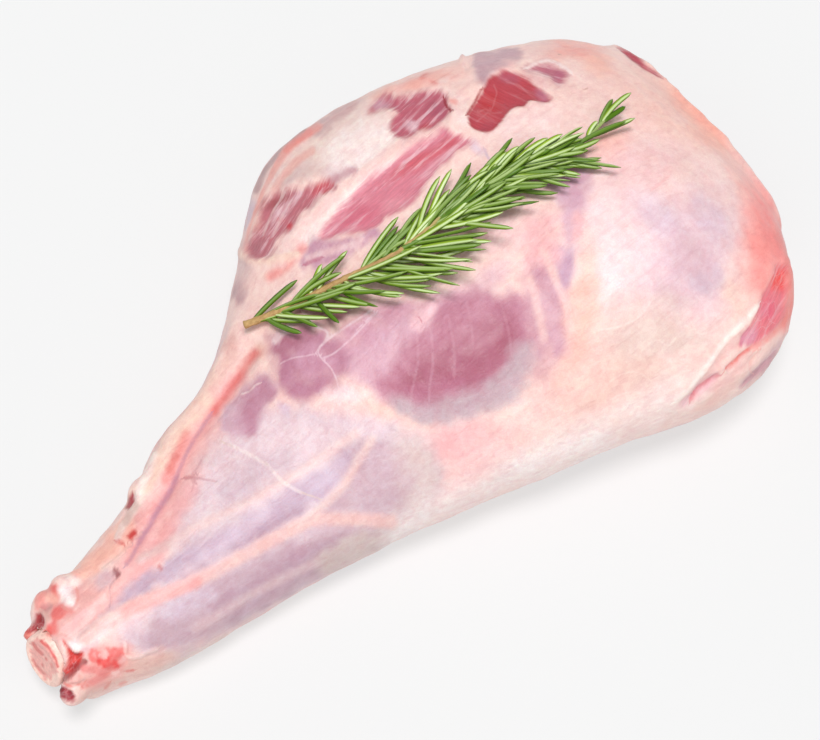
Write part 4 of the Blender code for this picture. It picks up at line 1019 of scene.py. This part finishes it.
# Sawn shank bone: pale hard rim round pink marrow. Areas as for the leg, and lines without a rise
boneShape = {
    "voxel": 0.6, "merge": 0.0001, "smoothing": 3, "wall": "fad0c3",
    "areas": (
        ("face", "ffd8ca", 1.0, 0.4, ((27, 636), (36, 633), (46, 638), (56, 650), (61, 663), (60, 674),
             (53, 682), (45, 681), (35, 672), (28, 661), (24, 649))),
        ("marrow", "f4aea6", 1.0, 0.7, ((30, 641), (37, 638), (45, 643), (53, 653), (57, 664), (55, 673),
             (49, 677), (40, 672), (33, 663), (29, 652))),
        ("marrowPale", "f8beb3", 0.8, 0.9, ((40, 656), (48, 658), (52, 668), (47, 673), (40, 666))),
    ),
    "lines": (
        ("arc1", "d8625e", 0.9, 0.55, 0.5, ((41, 641), (49, 648), (55, 658), (58, 667))),
        ("arc2", "dd726c", 0.85, 0.6, 0.5, ((33, 643), (37, 649), (42, 654))),
        ("arc3", "dc7a74", 0.7, 0.5, 0.5, ((33, 660), (38, 668), (45, 674))),
        ("spot1", "d96a66", 0.8, 0.4, 0.4, ((46, 658), (47, 660))),
        ("spot2", "da6e6a", 0.7, 0.4, 0.4, ((42, 664), (43, 666))),
        ("spot3", "de7a74", 0.7, 0.4, 0.4, ((51, 664), (52, 667))),
        ("wallLight", "fbe3d8", 0.9, 1.0, 1.0, ((54, 641), (60, 650), (64, 660))),
        ("wallRed", "ea8a82", 0.8, 0.6, 0.8, ((48, 634), (58, 639), (66, 650), (70, 662))),
    ),
}


def makeBone():
    piece = fineCopy("sawn_shank_bone", "shank_bone", boneShape["voxel"], boneShape["merge"])
    mesh = piece.data
    points = readVertices(mesh, "co") / mm
    relax(piece, np.ones(len(points)), boneShape["smoothing"])
    points = readVertices(mesh, "co") / mm
    painter = Painter(points, readVertices(mesh, "normal"))
    tint = np.tile(colorOf(boneShape["wall"])[:3], (len(points), 1))
    for name, *row in boneShape["areas"]:
        painter.area(tint, *row)
    for name, color, strength, half, soft, line in boneShape["lines"]:
        near = painter.line(tint, color, strength, half, soft, line)[2]
        painter.blend(tint, color, strength * near * painter.seen)
    writeAttribute(mesh, "tint", np.column_stack([tint, np.ones(len(tint))]))
    mesh.materials.append(boneMaterial())
    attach(piece, "root")
    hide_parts("shank_bone")
    print("bone ready,", len(points), "points")


# Fresh sawn bone: damp and a little porous, with pores of about 1.4 mm
def boneMaterial():
    material, tree = newMaterial("fresh_sawn_bone")
    place = addNode(tree, "ShaderNodeTexCoord", output=3)
    tint = addNode(tree, "ShaderNodeAttribute", {"attribute_name": "tint"})
    pores = addNode(tree, "ShaderNodeTexNoise", None,
                    {"Vector": place, "Scale": 700.0, "Detail": 4.0, "Roughness": 0.65})
    shade = addNode(tree, "ShaderNodeMapRange", None,
                    {"Value": pores, "From Min": 0.3, "From Max": 0.7, "To Min": 0.82, "To Max": 1.1})
    color = addNode(tree, "ShaderNodeMix", {"data_type": "RGBA", "blend_type": "MULTIPLY"},
                    {"Factor": 1.0, "A": tint, "B": shade})
    bump = addNode(tree, "ShaderNodeBump", None, {"Height": pores, "Strength": 0.4, "Distance": 0.0003})
    shader = addNode(tree, "ShaderNodeBsdfPrincipled", None,
                     {"Base Color": color, "Roughness": 0.45, "Normal": bump})
    addNode(tree, "ShaderNodeOutputMaterial", None, {"Surface": shader})
    return material


# Rosemary: laid along the top of the leg, as in the CAD, over a plan path in mm
sprig = {
    "origin": (11.03, -6.25),
    "path": ((-50, 49), (-29, 36), (-10, 28), (8, 21), (42, 18), (67, 16), (85, 10), (100, 5), (121, 8)),
    "steps": 40, "smoothing": 5, "lift": 4.5, "baseRadius": 1.7, "tipRadius": 0.7, "headingReach": 4.0,
    "bushyStart": 52.0, "bushyEnd": 146.0, "closedStart": 97.0, "spacing": 4.4, "seed": 7,
    "nearAngles": (-54.0, -40.0, -24.0), "farAngles": (31.0, 10.0), "closedAngle": 7.0, "angleSpread": 6.0,
    "nearLength": 35.0, "farLength": 26.0, "lengthSpread": 2.5, "shortening": 0.25,
    "crownStart": 70.0, "crownAngle": 11.0, "crownLength": 29.0, "crownRises": (6.0, 16.0),
    "rises": (-8.0, 10.0),
    "clear": 0.7, "droop": 0.5, "bend": -7.2, "bendSpread": 4.8, "rollSpread": 17.5,
    "width": 2.35, "thickness": 1.2, "topShare": 0.62, "underShare": 0.34, "rings": 12, "sides": 10,
    "stemSides": 14, "stemRings": 160, "barkDepth": 0.16, "barkSize": 2.2,
    "nodeHeight": 0.10, "nodeSharpness": 4,
    # half width along a needle, as a share of the full one
    "needleShape": ((0, 0.5), (0.06, 0.7), (0.18, 0.92), (0.4, 1.0), (0.7, 1.0), (0.88, 0.85), (0.96, 0.55),
                    (1, 0.15)),
    # needles by the bare foot and round the tip: place on the stem, angle, length, rise
    "looseNeedles": (
        (3, 30, 26, 6), (6, 3, 29, 12), (4, -8, 21, 6), (7, -27, 25, -4), (9, -53, 23, -6),
        (19, 24, 31, 12), (19, 17, 27, 8), (28, 52, 15, 4), (26, -20, 24, 10), (21, -38, 28, -6),
        (23, -33, 31, -4), (30, -78, 23, -8), (35, -43, 29, 6), (43, -56, 30, 0), (37, -27, 35, 6),
        (43, -12, 36, 12), (48, -40, 36, 0), (50, -48, 34, -4), (51, 38, 28, 4),
        (12, -35, 30, 2), (16, -52, 24, -4), (14, -14, 33, 8), (33, -52, 27, -2), (39, -66, 26, -4),
        (45, -34, 38, 4), (40, -48, 33, 2), (31, 34, 22, 8), (139, 7, 22, 6), (146, -40, 18, -2),
        (146, -16, 16, 4), (157, 2, 26, 8), (164, -18, 25, 4),
        (165, 21, 10, 10), (174, 16, 16, 6), (175, 3, 22, 10), (176, -12, 14, 4),
    ),
}


def needlePlan():
    draw = random.Random(sprig["seed"])
    plan = list(sprig["looseNeedles"])
    place = sprig["bushyStart"]
    while place < sprig["bushyEnd"]:
        shorter = 1 - sprig["shortening"] * (place - sprig["bushyStart"]) / (
            sprig["bushyEnd"] - sprig["bushyStart"])
        wideFar, closeFar = sprig["farAngles"]
        if place > sprig["closedStart"]:
            wideFar = sprig["closedAngle"]
        sides = [(angle, sprig["nearLength"]) for angle in sprig["nearAngles"]]
        sides += [(wideFar, sprig["farLength"]), (closeFar, sprig["farLength"])]
        for angle, length in sides:
            plan.append((
                place + draw.uniform(-0.5, 0.5) * sprig["spacing"],
                angle * shorter + draw.gauss(0, sprig["angleSpread"]),
                length * shorter + draw.gauss(0, sprig["lengthSpread"]),
                draw.uniform(*sprig["rises"]),
            ))
        for side in (-1, 1) if place > sprig["crownStart"] else ():
            plan.append((
                place + draw.uniform(-0.5, 0.5) * sprig["spacing"],
                side * sprig["crownAngle"] + draw.gauss(0, sprig["angleSpread"]),
                sprig["crownLength"] * shorter + draw.gauss(0, sprig["lengthSpread"]),
                draw.uniform(*sprig["crownRises"]),
            ))
        place += sprig["spacing"]
    return plan


def smoothTable(x, knots, values):  # smooth curve between the knots of a table
    knots = np.asarray(knots, float)
    values = np.asarray(values, float)
    step = np.diff(knots)
    slope = np.diff(values) / step
    tangent = np.concatenate([
        slope[:1], (slope[:-1] * step[1:] + slope[1:] * step[:-1]) / (step[1:] + step[:-1]), slope[-1:]])
    i = np.clip(np.searchsorted(knots, x) - 1, 0, len(knots) - 2)
    t = np.clip((x - knots[i]) / step[i], 0, 1)
    return ((2 * t**3 - 3 * t**2 + 1) * values[i] + (t**3 - 2 * t**2 + t) * step[i] * tangent[i]
            + (3 * t**2 - 2 * t**3) * values[i + 1] + (t**3 - t**2) * step[i] * tangent[i + 1])


def heightOf(skin, x, y):
    hit = skin.ray_cast(Vector((x, y, farAbove)) * mm, Vector((0, 0, -1)))
    return None if hit[0] is None else hit[0].z / mm


def stemCourse(skin):
    path = np.asarray(sprig["path"], float)
    reach = np.concatenate([[0], np.cumsum(np.linalg.norm(np.diff(path, axis=0), axis=1))])
    along = np.linspace(0, reach[-1], sprig["steps"])
    plan = np.stack([smoothTable(along, reach, path[:, k]) + sprig["origin"][k] for k in (0, 1)], 1)
    ground = np.array([heightOf(skin, x, y) for x, y in plan])
    half = sprig["smoothing"] // 2
    ground = np.convolve(np.pad(ground, half, "edge"), np.ones(2 * half + 1) / (2 * half + 1), "valid")
    return along, np.column_stack([plan, ground + sprig["lift"]])


def pointOn(along, course, place):
    return Vector([np.interp(place, along, course[:, axis]) for axis in range(3)])


class Shells:  # many closed tubes gathered into one mesh, with their paint values
    def __init__(self, names):
        self.points, self.faces = [], []
        self.paint = {name: [] for name in names}

    def addTube(self, rings, ends, paint):
        first = len(self.points)
        count = len(rings[0])
        for ring in rings:
            self.points += ring
        self.points += ends
        for ring in range(len(rings) - 1):
            for k in range(count):
                a = first + ring * count + k
                b = first + ring * count + (k + 1) % count
                self.faces.append((a, b, b + count, a + count))
        start = first + len(rings) * count
        tail = start - count
        for k in range(count):
            after = (k + 1) % count
            self.faces.append((start, first + after, first + k))
            self.faces.append((start + 1, tail + k, tail + after))
        for name, values in paint.items():
            self.paint[name] += values

    def build(self, name, material):
        mesh = bpy.data.meshes.new(name)
        mesh.from_pydata([Vector(p) * mm for p in self.points], [], self.faces)
        mesh.validate()
        piece = bpy.data.objects.new(name, mesh)
        bpy.context.scene.collection.objects.link(piece)
        shell = bmesh.new()
        shell.from_mesh(mesh)
        bmesh.ops.recalc_face_normals(shell, faces=shell.faces)
        shell.to_mesh(mesh)
        shell.free()
        mesh.shade_smooth()
        for key, values in self.paint.items():
            writeAttribute(mesh, key, np.array(values))
        mesh.materials.append(material)
        return piece


def needleRings(points, widths, roll):
    rings, paint = [], {"along": [], "across": [], "top": []}
    last = len(points) - 1
    for i, centre in enumerate(points):
        forward = (points[min(i + 1, last)] - points[max(i - 1, 0)]).normalized()
        side = forward.cross(Vector((0, 0, 1))).normalized()
        side.rotate(Matrix.Rotation(roll, 3, forward))
        up = side.cross(forward)
        ring = []
        for k in range(sprig["sides"]):
            angle = 2 * math.pi * k / sprig["sides"]
            wide, high = math.cos(angle), math.sin(angle)
            thick = sprig["thickness"] * sprig["topShare" if high > 0 else "underShare"]
            ring.append(centre + side * wide * widths[i] * sprig["width"] / 2 + up * high * widths[i] * thick)
            paint["along"].append(i / last)
            paint["across"].append(wide)
            paint["top"].append(high)
        rings.append(ring)
    for end in (0, 1):
        paint["along"].append(float(end))
        paint["across"].append(0.0)
        paint["top"].append(0.0)
    return rings, [points[0], points[-1]], paint


def makeNeedles(skin, along, course):
    draw = random.Random(sprig["seed"] + 1)
    needles = Shells(("along", "across", "top", "variety"))
    stations = np.linspace(0, 1, sprig["rings"])
    widths = smoothTable(stations, *zip(*sprig["needleShape"]))
    for place, angle, length, rise in needlePlan():
        foot = pointOn(along, course, place)
        ahead = pointOn(along, course, place + sprig["headingReach"])
        behind = pointOn(along, course, place - sprig["headingReach"])
        straight = (ahead - behind).normalized()
        bend = math.radians(draw.gauss(0, sprig["bendSpread"]) + math.copysign(1, angle) * sprig["bend"])
        points = []
        for t in stations:
            heading = straight.copy()
            heading.rotate(Matrix.Rotation(math.radians(angle) + bend * (t - 0.5), 3, "Z"))
            point = foot + heading * length * t
            point.z += math.tan(math.radians(rise)) * length * t * (1 - sprig["droop"] * t)
            ground = heightOf(skin, point.x, point.y)
            if ground is not None:
                point.z = max(point.z, ground + sprig["clear"] + sprig["thickness"] / 2)
            points.append(point)
        roll = math.radians(draw.gauss(0, sprig["rollSpread"]))
        rings, ends, paint = needleRings(points, widths, roll)
        paint["variety"] = [draw.random()] * len(paint["along"])
        needles.addTube(rings, ends, paint)
    print("rosemary", len(needles.faces), "needle faces")
    return needles.build("rosemary_needles", needleMaterial())


def makeStem(along, course):
    stem = Shells(("along",))
    rings, paint = [], {"along": []}
    places = np.linspace(0, along[-1], sprig["stemRings"])
    for place in places:
        centre = pointOn(along, course, place)
        forward = (pointOn(along, course, place + 1) - pointOn(along, course, place - 1)).normalized()
        side = forward.cross(Vector((0, 0, 1))).normalized()
        up = side.cross(forward)
        share = place / along[-1]
        radius = sprig["baseRadius"] + (sprig["tipRadius"] - sprig["baseRadius"]) * share
        ring = []
        for k in range(sprig["stemSides"]):
            turn = 2 * math.pi * k / sprig["stemSides"]
            bark = noise.noise(Vector((place / sprig["barkSize"], math.cos(turn), math.sin(turn))))
            node = max(0, math.cos(2 * math.pi * place / sprig["spacing"])) ** sprig["nodeSharpness"]
            knob = 1 + sprig["barkDepth"] * bark + sprig["nodeHeight"] * node
            ring.append(centre + (side * math.cos(turn) + up * math.sin(turn)) * radius * knob)
            paint["along"].append(share)
        rings.append(ring)
    paint["along"] += [0.0, 1.0]
    stem.addTube(rings, [pointOn(along, course, 0), pointOn(along, course, along[-1])], paint)
    return stem.build("rosemary_stem", stemMaterial())


def makeRosemary(leg):
    skin = BVHTree.FromObject(leg, bpy.context.evaluated_depsgraph_get())
    along, course = stemCourse(skin)
    for piece in (makeNeedles(skin, along, course), makeStem(along, course)):
        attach(piece, "root")
        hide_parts("rosemary")
    print("rosemary laid on the leg")


# Rosemary needle: leathery leaf, waxy on top with a painted highlight streak beside the midrib, rims
# and a dull underside darkened as painted shade, and finely pitted, about 1 mm apart
def needleMaterial():
    material, tree = newMaterial("rosemary_leaf")
    place = addNode(tree, "ShaderNodeTexCoord", output=3)
    along, across, top, variety = (
        addNode(tree, "ShaderNodeAttribute", {"attribute_name": name}, output=2)
        for name in ("along", "across", "top", "variety"))
    fine = addNode(tree, "ShaderNodeTexNoise", None, {"Vector": place, "Scale": 900.0, "Detail": 2.0})
    green = addNode(tree, "ShaderNodeMix", {"data_type": "RGBA"},
                    {"Factor": variety, "A": colorOf("4c7406"), "B": colorOf("97b52e")})
    base = addNode(tree, "ShaderNodeMapRange", None, {"Value": along, "From Max": 0.2, "To Min": 0.25,
                                                      "To Max": 0.0})
    paleFoot = addNode(tree, "ShaderNodeMix", {"data_type": "RGBA"},
                       {"Factor": base, "A": green, "B": colorOf("b9ca82")})
    middle = addNode(tree, "ShaderNodeMath", {"operation": "ABSOLUTE"}, {0: across})
    # the rims darken towards the edges of each needle as painted shade in the gaps between needles
    rim = addNode(tree, "ShaderNodeMapRange", {"interpolation_type": "SMOOTHSTEP"},
                  {"Value": middle, "From Min": 0.45, "From Max": 1.0, "To Max": 0.75})
    rimShaded = addNode(tree, "ShaderNodeMix", {"data_type": "RGBA"},
                     {"Factor": rim, "A": paleFoot, "B": colorOf("2e4c00")})
    # the painted highlight streak sits to one side of the midrib and is stronger on some needles
    aside = addNode(tree, "ShaderNodeMath", {"operation": "MULTIPLY_ADD"}, {0: variety, 1: -0.7, 2: 0.35})
    gap = addNode(tree, "ShaderNodeMath", {"operation": "ADD"}, {0: across, 1: aside})
    nearHighlight = addNode(tree, "ShaderNodeMath", {"operation": "ABSOLUTE"}, {0: gap})
    paintedHighlight = addNode(tree, "ShaderNodeMapRange", {"interpolation_type": "SMOOTHSTEP"},
                     {"Value": nearHighlight, "From Min": 0.62, "From Max": 0.1, "To Max": 1.0})
    highlightAmount = addNode(tree, "ShaderNodeMath", {"operation": "MULTIPLY"}, {0: paintedHighlight, 1: variety})
    withHighlight = addNode(tree, "ShaderNodeMix", {"data_type": "RGBA"},
                     {"Factor": highlightAmount, "A": rimShaded, "B": colorOf("d6e8b2")})
    # painted shade: the underside is a darker dull green
    underShade = addNode(tree, "ShaderNodeMapRange", {"interpolation_type": "SMOOTHSTEP"},
                    {"Value": top, "From Min": -0.1, "From Max": -0.5})
    leaf = addNode(tree, "ShaderNodeMix", {"data_type": "RGBA"},
                   {"Factor": underShade, "A": withHighlight, "B": colorOf("5c7a30")})
    bump = addNode(tree, "ShaderNodeBump", None,
                   {"Height": fine, "Strength": 0.3, "Distance": 0.0002})
    shader = addNode(tree, "ShaderNodeBsdfPrincipled", None,
                     {"Base Color": leaf, "Roughness": 0.4, "Normal": bump,
                      "Specular IOR Level": 0.3, "Coat Weight": 0.08, "Coat Roughness": 0.2})
    addNode(tree, "ShaderNodeOutputMaterial", None, {"Surface": shader})
    return material


# Rosemary stem: thin brown bark with lengthwise cracks of about 4 by 1 mm, green towards the young tip
def stemMaterial():
    material, tree = newMaterial("rosemary_bark")
    place = addNode(tree, "ShaderNodeTexCoord", output=3)
    along = addNode(tree, "ShaderNodeAttribute", {"attribute_name": "along"}, output=2)
    stretched = addNode(tree, "ShaderNodeMapping", None, {"Vector": place, "Scale": (250, 900, 900)})
    bark = addNode(tree, "ShaderNodeTexNoise", None,
                   {"Vector": stretched, "Scale": 1.0, "Detail": 4.0})
    brown = addNode(tree, "ShaderNodeMix", {"data_type": "RGBA"},
                    {"Factor": bark, "A": colorOf("8a5f2c"), "B": colorOf("e2bd80")})
    young = addNode(tree, "ShaderNodeMapRange", {"interpolation_type": "SMOOTHSTEP"},
                    {"Value": along, "From Min": 0.35, "From Max": 0.75})
    color = addNode(tree, "ShaderNodeMix", {"data_type": "RGBA"},
                    {"Factor": young, "A": brown, "B": colorOf("9fb56a")})
    bump = addNode(tree, "ShaderNodeBump", None,
                   {"Height": bark, "Strength": 0.6, "Distance": 0.0004})
    shader = addNode(tree, "ShaderNodeBsdfPrincipled", None,
                     {"Base Color": color, "Roughness": 0.65, "Normal": bump})
    addNode(tree, "ShaderNodeOutputMaterial", None, {"Surface": shader})
    return material


makeStudio()
leg = makeLeg()
makeBone()
makeRosemary(leg)
